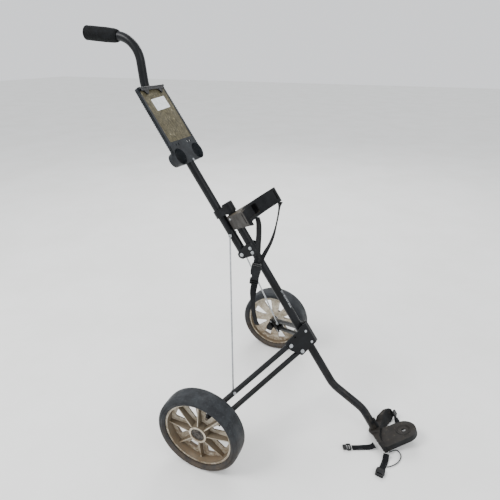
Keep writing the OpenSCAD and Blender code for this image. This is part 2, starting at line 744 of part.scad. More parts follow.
module strap_loop() {
  color("#101113") on_ground() cord(loop_route, loop_d);
}

// ---- Handle ----

module on_handle_end() {
  on_tube() translate([handle_x, 0, fold_z - stub]) follow(handle_steps) children();
}

module handle_tube() {
  notch = 7;
  color("#1b1c1e") on_tube() difference() {
    translate([handle_x, 0, fold_z - stub]) tube_run(handle_steps, tube_d, tube_wall);
    cross_pin(handle_x, fold_z, -tube_d, tube_d, hinge_rivet_r + fit);
    cross_pin(handle_x, rod_pin_z, -tube_d, tube_d, rod_pin_r + fit);
    cross_pin(handle_x, panel_z + 4, -cut, cut, cut);
    cross_plate(-tube_r, tube_r) polygon([
      [handle_x - tube_r - cut, rod_pin_z - 26], [handle_x - tube_r + notch, rod_pin_z - 10],
      [handle_x - tube_r - cut, rod_pin_z - 6]
    ]);
  }
}

module grip() {
  bore_r = tube_r + fit;
  grip_r = grip_d / 2;
  color("#0f1011") on_handle_end() rotate_extrude() polygon([
    [bore_r, -grip_l], [bore_r + 2.5, -grip_l], [grip_r - 2.5, -grip_l + 5], [grip_r - 1, -grip_l + 14],
    [grip_r, -grip_l + 40], [grip_r, -12], [grip_r - 0.6, -1.2], [grip_r - 1.4, 0], [bore_r, 0]
  ]);
}

module grip_cap() {
  grip_r = grip_d / 2;
  color("#232426") on_handle_end() union() {
    rotate_extrude() polygon([
      [0, 0], [grip_r - 0.6, 0], [grip_r, 1], [grip_r, 2.4], [grip_r - 3, grip_cap_l], [0, grip_cap_l]
    ]);
    translate([0, 0, -12]) cylinder(r = tube_r - tube_wall - fit, h = 12);
  }
}

// Spring band that hooks over the open side of the cap's cradle
module handle_band() {
  band_t = 4;
  back = 3.4;
  color("#1a1b1d") on_tube() translate([handle_x, 0, main_top - 9]) difference() {
    cylinder(r = tube_r + fit + band_t, h = 24);
    translate([0, 0, -cut]) cylinder(r = tube_r + fit, h = 26);
    box([-back, -tube_d, -cut], [tube_d, tube_d, 26]);
  }
}

module rod_pin() {
  color("#b9bbbd") on_tube() rivet(handle_x, rod_pin_z, tube_r + 0.1, rod_pin_r, 4, 1.4);
}

// ---- Console ----

function panel_outline(inset) =
  let (low = panel_z + corner_r, side = console_w / 2 - corner_r)
  belt([
    [side, low, corner_r - inset], [console_w / 2 - 11, panel_top - 6, 6 - inset],
    [-console_w / 2 + 11, panel_top - 6, 6 - inset], [-side, low, corner_r - inset]
  ]);

module console() {
  slot_z = panel_z + 60;
  color("#25272a") on_panel() difference() {
    union() {
      difference() {
        translate([0, 0, -panel_wall]) linear_extrude(panel_wall) polygon(panel_outline(0));
        translate([0, 0, -panel_wall - cut]) linear_extrude(panel_wall - console_skin + cut)
          polygon(panel_outline(2.2));
      }
      for (y = [-cup_y, cup_y]) translate([y, cup_z, -cup_depth])
        cylinder(d1 = cup_back_d + 2 * cup_wall, d2 = cup_d + 2 * cup_wall, h = cup_depth);
      for (y = [-1, 1]) for (z = clamp_z) translate([y * clamp_screw_y, z, -panel_wall])
        cylinder(r = 5, h = panel_wall - 1);
      for (y = [-1, 1]) translate([y * (clip_half + 2.6) - 1.5, clip_z, 0]) rotate([90, 0, 90])
        linear_extrude(3) polygon([[-4, -1], [4, -1], [2.5, 6], [-2.5, 6]]);
    }
    translate([0, 0, -card_t - 0.5]) linear_extrude(card_t + cut) polygon(rounded([
      [-card_half, card_low, 4], [card_half, card_low, 4], [card_half, card_high, 4], [-card_half, card_high, 4]
    ]));
    for (y = [-cup_y, cup_y]) translate([y, cup_z, -cup_depth - 0.01])
      cylinder(d1 = cup_back_d, d2 = cup_d, h = cup_depth + 0.02);
    for (y = [-38, -25, 25, 38]) translate([0, 0, -panel_wall]) linear_extrude(2 * panel_wall)
      polygon(belt([[y, slot_z - 2, 2.5], [y, slot_z + 2, 2.5]]));
    translate([0, panel_z + 4, -2 * panel_wall]) cylinder(r = 2 + fit, h = 3 * panel_wall);
    translate([0, panel_z - cut, handle_x - panel_x]) rotate([-90, 0, 0])
      cylinder(r = tube_r + fit, h = console_h + 2 * cut);
    for (y = [-1, 1]) for (z = clamp_z) translate([y * clamp_screw_y, z, -panel_wall - cut])
      cylinder(r = 2 + fit, h = panel_wall - 2);
    translate([-console_w / 2, clip_z, 3.2]) rotate([0, 90, 0]) cylinder(r = clip_pin_r + fit, h = console_w);
  }
}
clamp_z = [panel_z + 88, panel_top - 40];
clamp_screw_y = tube_r + 9;

module console_clamps() {
  clamp_t = 3;
  wide = 18;
  color("#202225") on_panel() for (z = clamp_z) translate([0, z - wide / 2, 0]) difference() {
    union() {
      translate([0, 0, handle_x - panel_x]) rotate([-90, 0, 0]) cylinder(r = tube_r + fit + clamp_t, h = wide);
      box([-clamp_screw_y - 6, 0, -panel_wall - clamp_t], [clamp_screw_y + 6, wide, -panel_wall]);
    }
    translate([0, -cut, handle_x - panel_x]) rotate([-90, 0, 0]) cylinder(r = tube_r + fit, h = wide + 2 * cut);
    box([-tube_d, -cut, -panel_wall], [tube_d, wide + cut, 2 * panel_wall]);
    for (y = [-clamp_screw_y, clamp_screw_y]) translate([y, wide / 2, -2 * panel_wall]) cylinder(r = 2 + fit, h = 2 * panel_wall);
  }
}

module console_screws() {
  color("#c4c6c8") on_panel() {
    translate([0, panel_z + 4, 0]) cylinder(r = 3.8, h = 1.6);
    translate([0, panel_z + 4, -console_skin]) cylinder(r = 2, h = console_skin);
    for (y = [-clamp_screw_y, clamp_screw_y]) for (z = clamp_z) translate([y, z, 0]) {
      translate([0, 0, -panel_wall - 3]) cylinder(r = 2, h = 8);
      translate([0, 0, -panel_wall - 5.2]) cylinder(r = 3.8, h = 2.2);
    }
  }
}

module card_plate() {
  color("#6b6450") on_panel() translate([0, 0, -card_t - 0.5]) linear_extrude(card_t) polygon(rounded([
    [-card_half + gap, card_low + gap, 4], [card_half - gap, card_low + gap, 4],
    [card_half - gap, card_high - gap, 4], [-card_half + gap, card_high - gap, 4]
  ]));
}

// Spring bar with two tabs that press on the score card
module score_clip() {
  tab_y = 35;
  color("#141517") on_panel() union() {
    translate([-clip_half, clip_z, 3.2]) rotate([0, 90, 0]) cylinder(r = 2.8, h = 2 * clip_half);
    translate([-clip_half - 4, clip_z, 3.2]) rotate([0, 90, 0]) cylinder(r = clip_pin_r, h = 2 * clip_half + 8);
    box([-clip_half, clip_z - 9, 3.6], [clip_half, clip_z, 5.4]);
    for (y = [-tab_y, tab_y]) translate([y, 0, 1.6]) linear_extrude(3.4) polygon(rounded([
      [-13, clip_z - 7, 1], [0, clip_z - 24, 4], [13, clip_z - 7, 1]
    ]));
  }
}

// ---- Legs, hubs and rods ----

module leg(foot, far) {
  color("#1b1c1e") on_leg(far) translate([foot[0], leg_mid, foot[1]]) rotate([0, 90 + leg_slope, 0]) difference() {
    translate([0, 0, -leg_tail]) straight_tube(leg_span + 2 * leg_tail, leg_d, leg_wall);
    for (x = [0, leg_span]) translate([0, 0, x]) rotate([90, 0, 0]) cylinder(r = bolt_r + fit, h = 2 * leg_d, center = true);
    if (foot == pivot_a) translate([0, 0, 218.5]) rotate([90, 0, 0])
      cylinder(r = rod_pin_r + fit, h = 2 * leg_d, center = true);
  }
}

hub_low = leg_mid - leg_r - 1 - 4;
hub_high = leg_mid + leg_r + 1 + 4;

module hub_bracket(far) {
  color("#1e1f21") difference() {
    union() {
      on_leg(far) {
        cross_plate(hub_low, hub_low + 4) polygon(belt([
          [hub_b[0], hub_b[1], 10], [hub_a[0] + 14, hub_a[1] - 19, 14], [hub_a[0], hub_a[1], 10]
        ]));
        cross_plate(hub_high - 4, hub_high) polygon(belt([
          [hub_b[0], hub_b[1], 10], [hub_b[0] + 24, hub_b[1] + 6, 9], [hub_a[0], hub_a[1], 10]
        ]));
        box([hub_b[0] + 14, hub_low, hub_b[1] - 11], [hub_b[0] + 30, hub_high, hub_b[1] + 15]);
      }
      on_tube() on_side(far) cross_pin(axle_x, axle_z, -boss_out, -boss_in, 13);
    }
    on_leg(far) for (p = [hub_a, hub_b]) cross_pin(p[0], p[1], 0, 2 * hub_high, bolt_r + fit);
    on_tube() on_side(far) cross_pin(axle_x, axle_z, -boss_out - cut, -boss_in - 4, axle_d / 2 + fit);
  }
}

module hub_bolts(far) {
  color("#c4c6c8") on_leg(far) for (p = [hub_a, hub_b]) {
    cross_pin(p[0], p[1], hub_low - 3, hub_high, bolt_r);
    cross_pin(p[0], p[1], hub_high, hub_high + 3, 5.5);
    cross_pin(p[0], p[1], hub_low - 3, hub_low, 5, 6);
  }
}

// Wheel sizes along the axle, from the wheel's middle
rim_half = tyre_w / 2 - 10;
hub_back = -tyre_w / 2 + 0.3;
axle_end = rim_half - 6;
disc_low = -8;
disc_high = -4;
ring_r = 27;
ring_bore = 21;
bush_wall = 3;
bush_r = axle_d / 2 + 2 * fit + bush_wall;
nut_t = 4;
rim_r = wheel_r - tyre_h;
barrel_t = 3;
rim_flange = 2.5;                    // height and thickness of the rim's edges

module axle(far) {
  color("#b4b6b8") on_wheel(far) {
    translate([0, 0, boss_in + 4.1 - wheel_y]) cylinder(d = axle_d, h = axle_end - boss_in - 4.1 + wheel_y);
    translate([0, 0, boss_out - wheel_y]) cylinder(d = axle_d + 6, h = 2.7);
    translate([0, 0, axle_end - nut_t]) cylinder(d = axle_d + 7, h = nut_t, $fn = 6);
  }
}

module wheel_bushes(far) {
  flange = 1;
  color("#d8d6cf") on_wheel(far) for (ends = [[hub_back, hub_back + 16], [axle_end - nut_t - 16.5, axle_end - nut_t - 0.5]])
    translate([0, 0, ends[0]]) difference() {
      cylinder(r = bush_r, h = ends[1] - ends[0]);
      translate([0, 0, -flange]) cylinder(r = axle_d / 2 + fit, h = ends[1] - ends[0] + 2 * flange);
    }
}

module rim(far) {
  spoke = 360 / spoke_count;
  fin_t = 3;
  fin_in = ring_r - 2;
  fin_out = rim_r - 1;
  window_in = ring_r + 12;
  window_out = rim_r - 15;
  window_half = window_out * tan(spoke / 2) - 20;
  color("#b9ad97") on_wheel(far) difference() {
    union() {
      difference() {
        union() {
          translate([0, 0, -rim_half]) cylinder(r = rim_r, h = 2 * rim_half, $fn = 96);
          for (z = [-rim_half, rim_half - rim_flange]) translate([0, 0, z])
            cylinder(r = rim_r + rim_flange, h = rim_flange, $fn = 96);
        }
        translate([0, 0, disc_high]) cylinder(r = rim_r - barrel_t, h = 2 * rim_half, $fn = 96);
        translate([0, 0, disc_low - 2 * rim_half]) cylinder(r = rim_r - barrel_t, h = 2 * rim_half, $fn = 96);
        for (i = [0:spoke_count - 1]) rotate([0, 0, (i + 0.5) * spoke]) translate([0, 0, disc_low - cut])
          linear_extrude(disc_high - disc_low + 2 * cut) polygon(rounded([
            [window_in, -3, 2.4], [window_out, -window_half, 5], [window_out, window_half, 5], [window_in, 3, 2.4]
          ]));
      }
      translate([0, 0, disc_low]) cylinder(r = ring_r, h = rim_half + 0.4 - disc_low);
      translate([0, 0, hub_back]) cylinder(r = bush_r + 6, h = disc_low - hub_back + 1);
      for (i = [0:spoke_count - 1]) rotate([0, 0, i * spoke]) cross_plate(-fin_t / 2, fin_t / 2) polygon([
        [fin_in, disc_high - 1], [fin_out, disc_high - 1], [fin_out, 8], [fin_in + 6, rim_half - 3], [fin_in, rim_half - 3]
      ]);
    }
    translate([0, 0, hub_back - cut]) cylinder(r = bush_r + fit, h = 2 * tyre_w);
    translate([0, 0, axle_end - nut_t - 0.6]) cylinder(r = axle_d / 2 + 6, h = tyre_w);
    translate([0, 0, axle_end + 0.8]) cylinder(r = ring_bore, h = tyre_w);
  }
}

module tyre(far) {
  bead = rim_half - rim_flange;
  half = tyre_w / 2;
  shoulder = 11;
  color("#3a3c3f") on_wheel(far) rotate_extrude($fn = 96) difference() {
    polygon(concat(
      [[rim_r + fit, -bead + fit], [rim_r + rim_flange + fit, -bead + fit]],
      [[rim_r + rim_flange + fit, -half + 5], [rim_r + 9, -half], [wheel_r - shoulder, -half]],
      [for (k = [0:6]) [wheel_r - shoulder - 0.8, -half + shoulder] + shoulder * [sin(15 * k), -cos(15 * k)]],
      [[wheel_r, -half + shoulder + 8], [wheel_r, half - shoulder - 8]],
      [for (k = [6:-1:0]) [wheel_r - shoulder - 0.8, half - shoulder] + shoulder * [sin(15 * k), cos(15 * k)]],
      [[wheel_r - shoulder, half], [rim_r + 9, half], [rim_r + rim_flange + fit, half - 5]],
      [[rim_r + rim_flange + fit, bead - fit], [rim_r + fit, bead - fit]]
    ));
    polygon(rounded([
      [rim_r - 5, -bead + 5, 1], [rim_r + 4, -bead + 4, 2], [rim_r + 8, -half + tyre_wall, 3],
      [wheel_r - tyre_wall - 0.5, -half + tyre_wall, 8], [wheel_r - tyre_wall - 0.5, half - tyre_wall, 8],
      [rim_r + 8, half - tyre_wall, 3], [rim_r + 4, bead - 4, 2], [rim_r - 5, bead - 5, 1]
    ]));
  }
}

module hub_cap(far) {
  cap_low = axle_end + 0.8;
  color("#2b2622") on_wheel(far) difference() {
    union() {
      translate([0, 0, cap_low]) cylinder(r = ring_bore - fit, h = 2.4);
      translate([0, 0, cap_low]) cylinder(r1 = 9, r2 = 7.5, h = 4.6);
    }
    for (i = [0:5]) rotate([0, 0, 60 * i]) translate([13.5, 0, cap_low + 1.4]) cylinder(r = 2.6, h = 4);
    translate([0, 0, cap_low + 3.4]) cylinder(r = 4, h = 4, $fn = 6);
  }
}

eye_play = 1.1;                      // the lower eye tilts on its rivet as the rod swings

module rod(far) {
  eye_t = 2;
  foot = [(rod_side - rod_foot[0]) / sqrt(2), -(rod_foot[0] + rod_side) / sqrt(2), rod_foot[1]];
  top = [handle_x, -rod_top_y, rod_pin_z];
  along = unit(top - foot);
  color("#a8aaac") difference() {
    union() {
      on_tube() on_side(far) {
        bar(foot + 4 * along, top - 4 * along, rod_d);
        cross_pin(top[0], top[2], top[1] - eye_t / 2, top[1] + eye_t / 2, 5.5);
      }
      on_leg(far) cross_pin(rod_foot[0], rod_foot[1], rod_side - eye_t / 2, rod_side + eye_t / 2, 6);
    }
    on_tube() on_side(far) cross_pin(top[0], top[2], top[1] - 2 * eye_t, top[1] + 2 * eye_t, rod_pin_r + fit);
    on_leg(far) cross_pin(rod_foot[0], rod_foot[1], rod_side - 2 * eye_t, rod_side + 2 * eye_t, rod_pin_r + eye_play);
  }
}

module rod_rivet(far) {
  color("#c4c6c8") on_leg(far) {
    cross_pin(rod_foot[0], rod_foot[1], rod_side - 3.4, leg_mid + leg_r + 0.2, rod_pin_r);
    cross_pin(rod_foot[0], rod_foot[1], rod_side - 5, rod_side - 3, 4.2);
    cross_pin(rod_foot[0], rod_foot[1], leg_mid + leg_r + 0.2, leg_mid + leg_r + 2, 4.5);
  }
}

// ---- Nodes ----

main_tube();
tube_cap();
hinge_plate(false);  // hinge_plate_near
hinge_plate(true);  // hinge_plate_far
hinge_rivets();
handle_pivot_pin();
upper_cradle();
cradle_screws();
leg_bracket_outer();
leg_bracket_inner();
leg_bracket_screws();
leg_bolts(false);  // leg_bolts_near
leg_bolts(true);  // leg_bolts_far
lower_bracket();
lower_bracket_screws();
foot_plug();
web_piece(near_route, upper_web);  // upper_strap_near
web_piece(far_route, upper_web);  // upper_strap_far
upper_buckle_socket();
upper_buckle_plug();
web_piece(rear_route, lower_web);  // lower_strap_rear
lower_buckle_plug();
web_piece(front_route, lower_web);  // lower_strap_front
lower_buckle_socket();
web_piece(wing_route, lower_web);  // wing_strap
cam_buckle();
strap_loop();
handle_tube();
grip();
grip_cap();
handle_band();
rod_pin();
console();
console_clamps();
console_screws();
card_plate();
score_clip();
leg(pivot_a, false);  // upper_leg_near
leg(pivot_b, false);  // lower_leg_near
hub_bracket(false);  // hub_bracket_near
hub_bolts(false);  // hub_bolts_near
axle(false);  // axle_near
rim(false);  // rim_near
tyre(false);  // tyre_near
hub_cap(false);  // hub_cap_near
wheel_bushes(false);  // wheel_bushes_near
rod(false);  // rod_near
rod_rivet(false);  // rod_rivet_near
leg(pivot_a, true);  // upper_leg_far
leg(pivot_b, true);  // lower_leg_far
hub_bracket(true);  // hub_bracket_far
hub_bolts(true);  // hub_bolts_far
axle(true);  // axle_far
rim(true);  // rim_far
tyre(true);  // tyre_far
hub_cap(true);  // hub_cap_far
wheel_bushes(true);  // wheel_bushes_far
rod(true);  // rod_far
rod_rivet(true);  // rod_rivet_far
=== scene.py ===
"""Looks of a two-wheel folding golf pull cart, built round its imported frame."""

import json
import math

import bpy
import bmesh
from mathutils import Matrix, Vector


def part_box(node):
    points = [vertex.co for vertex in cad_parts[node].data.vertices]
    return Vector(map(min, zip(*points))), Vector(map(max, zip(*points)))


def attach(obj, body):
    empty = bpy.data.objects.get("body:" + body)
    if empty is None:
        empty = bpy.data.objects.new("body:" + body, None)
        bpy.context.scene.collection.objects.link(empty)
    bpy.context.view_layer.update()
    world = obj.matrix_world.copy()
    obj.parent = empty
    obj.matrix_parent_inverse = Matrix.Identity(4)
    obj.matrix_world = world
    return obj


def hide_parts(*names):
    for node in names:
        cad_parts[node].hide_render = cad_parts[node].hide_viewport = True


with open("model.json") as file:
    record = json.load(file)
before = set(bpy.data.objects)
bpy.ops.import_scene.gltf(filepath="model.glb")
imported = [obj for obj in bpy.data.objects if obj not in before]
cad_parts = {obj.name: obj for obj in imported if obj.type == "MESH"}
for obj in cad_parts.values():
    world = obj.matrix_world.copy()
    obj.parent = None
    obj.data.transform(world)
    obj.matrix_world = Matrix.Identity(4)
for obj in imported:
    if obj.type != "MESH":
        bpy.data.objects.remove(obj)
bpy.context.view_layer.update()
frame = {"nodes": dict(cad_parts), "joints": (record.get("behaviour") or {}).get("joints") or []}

bl_info = {
    "name": "Golf pull cart",
    "version": (1, 0, 0),
    "blender": (4, 5, 0),
    "location": "View3D > Sidebar > Pull cart",
    "description": "Finishes, webbing and small trim of a folding golf pull cart",
    "category": "Object",
}

NODES = frame["nodes"]
MM = 0.001

# The wheels' axles are the routes' starting point along X.
AXLE_X = sum(corner.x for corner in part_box("tyre_near")) / 2

# The tube frame: out from the handle towards the bag, and up along the main tube.
LEAN = math.radians(33)
OUT = Vector((math.cos(LEAN), 0, math.sin(LEAN)))
UP_TUBE = Vector((-math.sin(LEAN), 0, math.cos(LEAN)))
FOLD = Vector(next(j["pos_m"] for j in frame["joints"] if j["name"] == "handle_fold"))
HANDLE_GAP = 37 * MM
TUBE_R = 12.7 * MM
PANEL_FACE = 15.5 * MM      # console's face, out from the handle's axis
PANEL_LOW = 314 * MM        # console's lower edge, up the handle from the fold pivot
PANEL_HIGH = 556 * MM
LABEL_ACROSS = 4 * MM
LABEL_UP = 501 * MM
LABEL_TILT = math.radians(4)
LABEL_CORNER = 2.5 * MM
RIB = (1.6 * MM, 1.7 * MM, 7.2 * MM)
STRIPE_LENGTH = 62 * MM
STRIPE_TURN = math.radians(34)     # how far the stripe goes round the tube
STRIPE_UP = -185 * MM
FOIL = 0.12 * MM
STITCH = 3.2 * MM
WEAR_PATCH = 28                    # size in millimetres of the patches where the gloss varies
WEB_UV = "webbing"

CAMERA_PLACE = (AXLE_X + 0.5013, -1.1534, 1.1233)
CAMERA_TURN = (math.radians(65.842), 0, math.radians(22.663))
LIGHT_AIM = Vector((0, 0, 0.5))
LIGHTS = (                         # name, place, width in metres and power in watts
    ("key", (-1.7, -1.9, 3.0), 1.5, 110),
    ("fill", (2.6, -1.4, 2.4), 1.8, 35),
    ("rim", (-0.6, 2.6, 2.8), 1.6, 60),
)

# Webbing routes, measured from the wheels' axles: place, then the direction across the band.
UPPER_NEAR = [
    ((0.086, -0.110, 0.715), (0.9, -0.4, 0.1)), ((0.089, -0.109, 0.704), (0.9, -0.4, 0)),
    ((0.090, -0.107, 0.692), (0.9, -0.4, 0)), ((0.089, -0.104, 0.678), (0.9, -0.4, 0)),
    ((0.087, -0.099, 0.660), (0.9, -0.4, 0)),
    ((0.084, -0.094, 0.640), (0.9, -0.4, 0)), ((0.081, -0.088, 0.618), (0.9, -0.4, 0)),
    ((0.078, -0.082, 0.596), (0.9, -0.4, 0)), ((0.074, -0.076, 0.575), (0.95, -0.1, 0)),
    ((0.071, -0.072, 0.559), (1, 0.2, 0)),
]
UPPER_FAR = [
    ((0.072, 0.116, 0.688), (0.5, -0.2, -0.8)), ((0.072, 0.112, 0.672), (0.5, -0.6, 0.4)),
    ((0.073, 0.100, 0.650), (0.5, -0.7, 0.5)), ((0.074, 0.080, 0.624), (0.5, -0.7, 0.5)),
    ((0.075, 0.054, 0.600), (0.6, -0.6, 0.4)), ((0.075, 0.026, 0.583), (0.7, -0.5, 0.4)),
    ((0.073, -0.004, 0.570), (0.8, -0.4, 0.3)), ((0.071, -0.032, 0.556), (0.9, -0.4, 0.3)),
    ((0.067, -0.050, 0.536), (1, -0.1, 0.2)), ((0.064, -0.063, 0.510), (1, 0.3, 0)),
    ((0.061, -0.065, 0.486), (1, 0.3, 0)), ((0.057, -0.066, 0.460), (1, 0, 0)),
    ((0.057, -0.068, 0.430), (0.9, -0.4, 0)), ((0.059, -0.069, 0.400), (0.9, -0.4, 0)),
    ((0.065, -0.070, 0.372), (0.9, -0.4, 0.1)), ((0.072, -0.071, 0.350), (0.9, -0.4, 0.2)),
]
LOWER_REAR = [
    ((0.462, -0.070, 0.014), (0.3, 0.6, 0.8)), ((0.452, -0.074, 0.006), (0.3, 0.8, 0.4)),
    ((0.440, -0.078, 0.003), (0.3, 1, 0.1)), ((0.427, -0.084, 0.003), (0.3, 1, 0)),
    ((0.414, -0.090, 0.003), (0.3, 1, 0)), ((0.400, -0.096, 0.003), (0.3, 1, 0)),
]
LOWER_FRONT = [
    ((0.500, -0.089, 0.013), (1, 0.1, 0.4)), ((0.500, -0.094, 0.008), (1, 0, 0.2)),
    ((0.500, -0.104, 0.004), (1, 0, 0)), ((0.499, -0.116, 0.003), (1, 0, 0)),
    ((0.497, -0.128, 0.003), (1, 0.1, 0)), ((0.494, -0.143, 0.003), (1, 0.2, 0)),
]
WING = [
    ((0.509, 0.077, 0.010), (0, 1, 0)), ((0.514, 0.069, 0.006), (0.3, 0.9, 0)),
    ((0.518, 0.061, 0.004), (0.5, 0.8, 0)), ((0.523, 0.054, 0.003), (0.6, 0.8, 0)),
    ((0.530, 0.045, 0.003), (0.7, 0.7, 0)), ((0.536, 0.037, 0.003), (0.7, 0.7, 0)),
]
LOOP = [
    (0.508, -0.078, 0.012), (0.518, -0.062, 0.006), (0.528, -0.054, 0.003), (0.536, -0.060, 0.003),
    (0.541, -0.070, 0.003), (0.541, -0.082, 0.003), (0.537, -0.095, 0.003), (0.530, -0.107, 0.003),
    (0.520, -0.118, 0.003), (0.509, -0.127, 0.003),
]


def linear(colour):
    """An sRGB hex colour as linear red, green, blue and alpha."""
    parts = [int(colour[i:i + 2], 16) / 255 for i in (1, 3, 5)]
    return [p / 12.92 if p <= 0.04045 else ((p + 0.055) / 1.055) ** 2.4 for p in parts] + [1.0]


# ---- Sizes and colours that a user would change ----


def length_of(name, description, millimetres):
    return bpy.props.FloatProperty(
        name=name, description=description, default=millimetres * MM, min=0.0, unit="LENGTH"
    )


def colour_of(name, description, colour):
    return bpy.props.FloatVectorProperty(
        name=name, description=description, default=linear(colour), size=4, subtype="COLOR", min=0, max=1
    )


class CartSizes(bpy.types.PropertyGroup):
    upper_web: length_of("Upper webbing", "Width of the upper strap", 20)
    lower_web: length_of("Lower webbing", "Width of the lower straps", 18)
    web_thickness: length_of("Webbing thickness", "Thickness of the straps", 1.6)
    loop_thickness: length_of("Loop thickness", "Diameter of the thin cord loop", 3)
    label_width: length_of("Label width", "Width of the blank label on the score card plate", 70)
    label_height: length_of("Label height", "Height of the blank label", 36)
    rib_pitch: length_of("Rib pitch", "Distance between the ribs on the console's sides", 7)


class CartColours(bpy.types.PropertyGroup):
    paint: colour_of("Tube paint", "Satin enamel on the steel tubes", "#0b0c0e")
    saddle: colour_of("Saddle plastic", "Moulded bag supports", "#0d0e10")
    dust: colour_of("Dust", "Dry earth that has settled on the cart", "#554d40")
    console: colour_of("Console plastic", "Moulded score card holder", "#15181b")
    card: colour_of("Card plate", "Weathered plate behind the score card", "#3f3a2b")
    rim: colour_of("Rim plastic", "Moulded wheel rims", "#b5ac9b")
    tyre: colour_of("Tyre", "Hollow moulded tyres", "#1d1f22")
    webbing: colour_of("Webbing", "Woven straps", "#060709")
    zinc: colour_of("Zinc", "Plated rods, rivets and bolts", "#b4b7ba")
    floor: colour_of("Floor", "Pale studio floor", "#f1f1ef")


# ---- Materials ----


def add(tree, kind, inputs=None, stops=(), **settings):
    """Adds a node: its settings, a colour ramp's stops, and inputs that are constants or sockets."""
    made = tree.nodes.new(kind)
    for name, value in settings.items():
        setattr(made, name, value)
    for name, value in (inputs or {}).items():
        if isinstance(value, bpy.types.NodeSocket):
            tree.links.new(value, made.inputs[name])
        else:
            made.inputs[name].default_value = value
    for i, (place, colour) in enumerate(stops):
        element = made.color_ramp.elements[i] if i < 2 else made.color_ramp.elements.new(place)
        element.position = place
        element.color = colour
    return made


def new_material(name, **sockets):
    """A Principled material with its constant sockets set, its tree, its shader and Object coordinates."""
    made = bpy.data.materials.new(name)
    made.use_nodes = True
    tree = made.node_tree
    shader = tree.nodes["Principled BSDF"]
    for socket, value in sockets.items():
        shader.inputs[socket.replace("_", " ")].default_value = value
    return made, tree, shader, add(tree, "ShaderNodeTexCoord").outputs["Object"]


def per_metre(millimetres):
    """Noise scale whose features are about this size."""
    return 1 / (millimetres * MM)


def wave_scale(millimetres):
    """Wave texture scale whose bands are this far apart: at scale 1 they are pi / 10 apart."""
    return math.pi / 10 / (millimetres * MM)


def mottle(tree, place, first, second, patch, low=0.4, high=0.62):
    """Two tones that change over patches of a size in millimetres."""
    noise = add(tree, "ShaderNodeTexNoise", {
        "Vector": place, "Scale": per_metre(patch), "Detail": 6.0, "Roughness": 0.62})
    stops = [(low, first), (high, second)]
    return add(tree, "ShaderNodeValToRGB", {"Fac": noise.outputs["Fac"]}, stops=stops).outputs["Color"]


def facing(tree, direction, low, high):
    """How far the surface faces a direction, fixed to the piece: 0 below low and 1 above high."""
    normal = add(tree, "ShaderNodeTexCoord").outputs["Normal"]
    dot = add(tree, "ShaderNodeVectorMath", {0: normal, 1: direction}, operation="DOT_PRODUCT")
    return add(tree, "ShaderNodeMapRange", {
        "Value": dot.outputs["Value"], "From Min": low, "From Max": high}).outputs["Result"]


def height(tree, place, low, high):
    """0 at the height low and 1 at the height high, in metres."""
    axes = add(tree, "ShaderNodeSeparateXYZ", {"Vector": place})
    return add(tree, "ShaderNodeMapRange", {
        "Value": axes.outputs["Z"], "From Min": low, "From Max": high}).outputs["Result"]


def layered(tree, shader, base, *layers):
    """Lays each colour over what is below it, where its mask says, as the finish's base colour."""
    colour = base
    for over, mask in layers:
        mix = add(tree, "ShaderNodeMix", {"Factor": mask, 6: colour, 7: over}, data_type="RGBA")
        colour = mix.outputs[2]
    tree.links.new(colour, shader.inputs["Base Color"])


def patches(tree, place, patch, low, high, mask=None):
    """A mask of soft patches of a size in millimetres, kept to where another mask is."""
    noise = add(tree, "ShaderNodeTexNoise", {
        "Vector": place, "Scale": per_metre(patch), "Detail": 7.0, "Roughness": 0.66})
    found = add(tree, "ShaderNodeMapRange", {
        "Value": noise.outputs["Fac"], "From Min": low, "From Max": high}).outputs["Result"]
    if mask is None:
        return found
    return add(tree, "ShaderNodeMath", {0: found, 1: mask}, operation="MULTIPLY").outputs[0]


def raised(tree, shader, relief, depth, strength=1.0):
    """Gives the shader a relief of a depth in millimetres."""
    bump = add(tree, "ShaderNodeBump", {"Height": relief, "Distance": depth * MM, "Strength": strength})
    tree.links.new(bump.outputs["Normal"], shader.inputs["Normal"])


def grain(tree, shader, place, size, depth, rough_low, rough_high):
    """Fine surface texture of a size and depth in millimetres, which also varies the gloss."""
    noise = add(tree, "ShaderNodeTexNoise", {
        "Vector": place, "Scale": per_metre(size), "Detail": 4.0, "Roughness": 0.55})
    raised(tree, shader, noise.outputs["Fac"], depth, 0.8)
    wear = add(tree, "ShaderNodeTexNoise", {"Vector": place, "Scale": per_metre(WEAR_PATCH), "Detail": 5.0})
    gloss = add(tree, "ShaderNodeMapRange", {
        "Value": wear.outputs["Fac"], "From Min": 0.3, "From Max": 0.7,
        "To Min": rough_low, "To Max": rough_high})
    tree.links.new(gloss.outputs["Result"], shader.inputs["Roughness"])


def painted_steel():
    """Steel tube under satin black enamel: soft highlights, slight orange peel, grey scuffs."""
    made, tree, shader, place = new_material("painted_steel", IOR=1.52, Specular_IOR_Level=0.18)
    layered(
        tree, shader, mottle(tree, place, bpy.context.scene.cart_colours.paint, linear("#131518"), 60),
        (linear("#4b4d4f"), patches(tree, place, 5, 0.66, 0.74)),
        (linear("#3c3832"), patches(tree, place, 14, 0.45, 0.75, height(tree, place, 0.22, 0.02))),
    )
    grain(tree, shader, place, 1.4, 0.05, 0.3, 0.46)
    return made


def moulded_plastic(name, first, second, grain_size, rough_low, rough_high):
    """Injection-moulded ABS, nylon or acetal: a fine spark-eroded grain under a slight bloom of dust."""
    made, tree, shader, place = new_material(name, IOR=1.53, Specular_IOR_Level=0.15)
    layered(
        tree, shader, mottle(tree, place, first, second, 22),
        (linear("#4a463f"), patches(tree, place, 9, 0.52, 0.8, facing(tree, (0, 0, 1), 0.3, 0.95))),
    )
    grain(tree, shader, place, grain_size, 0.08, rough_low, rough_high)
    return made


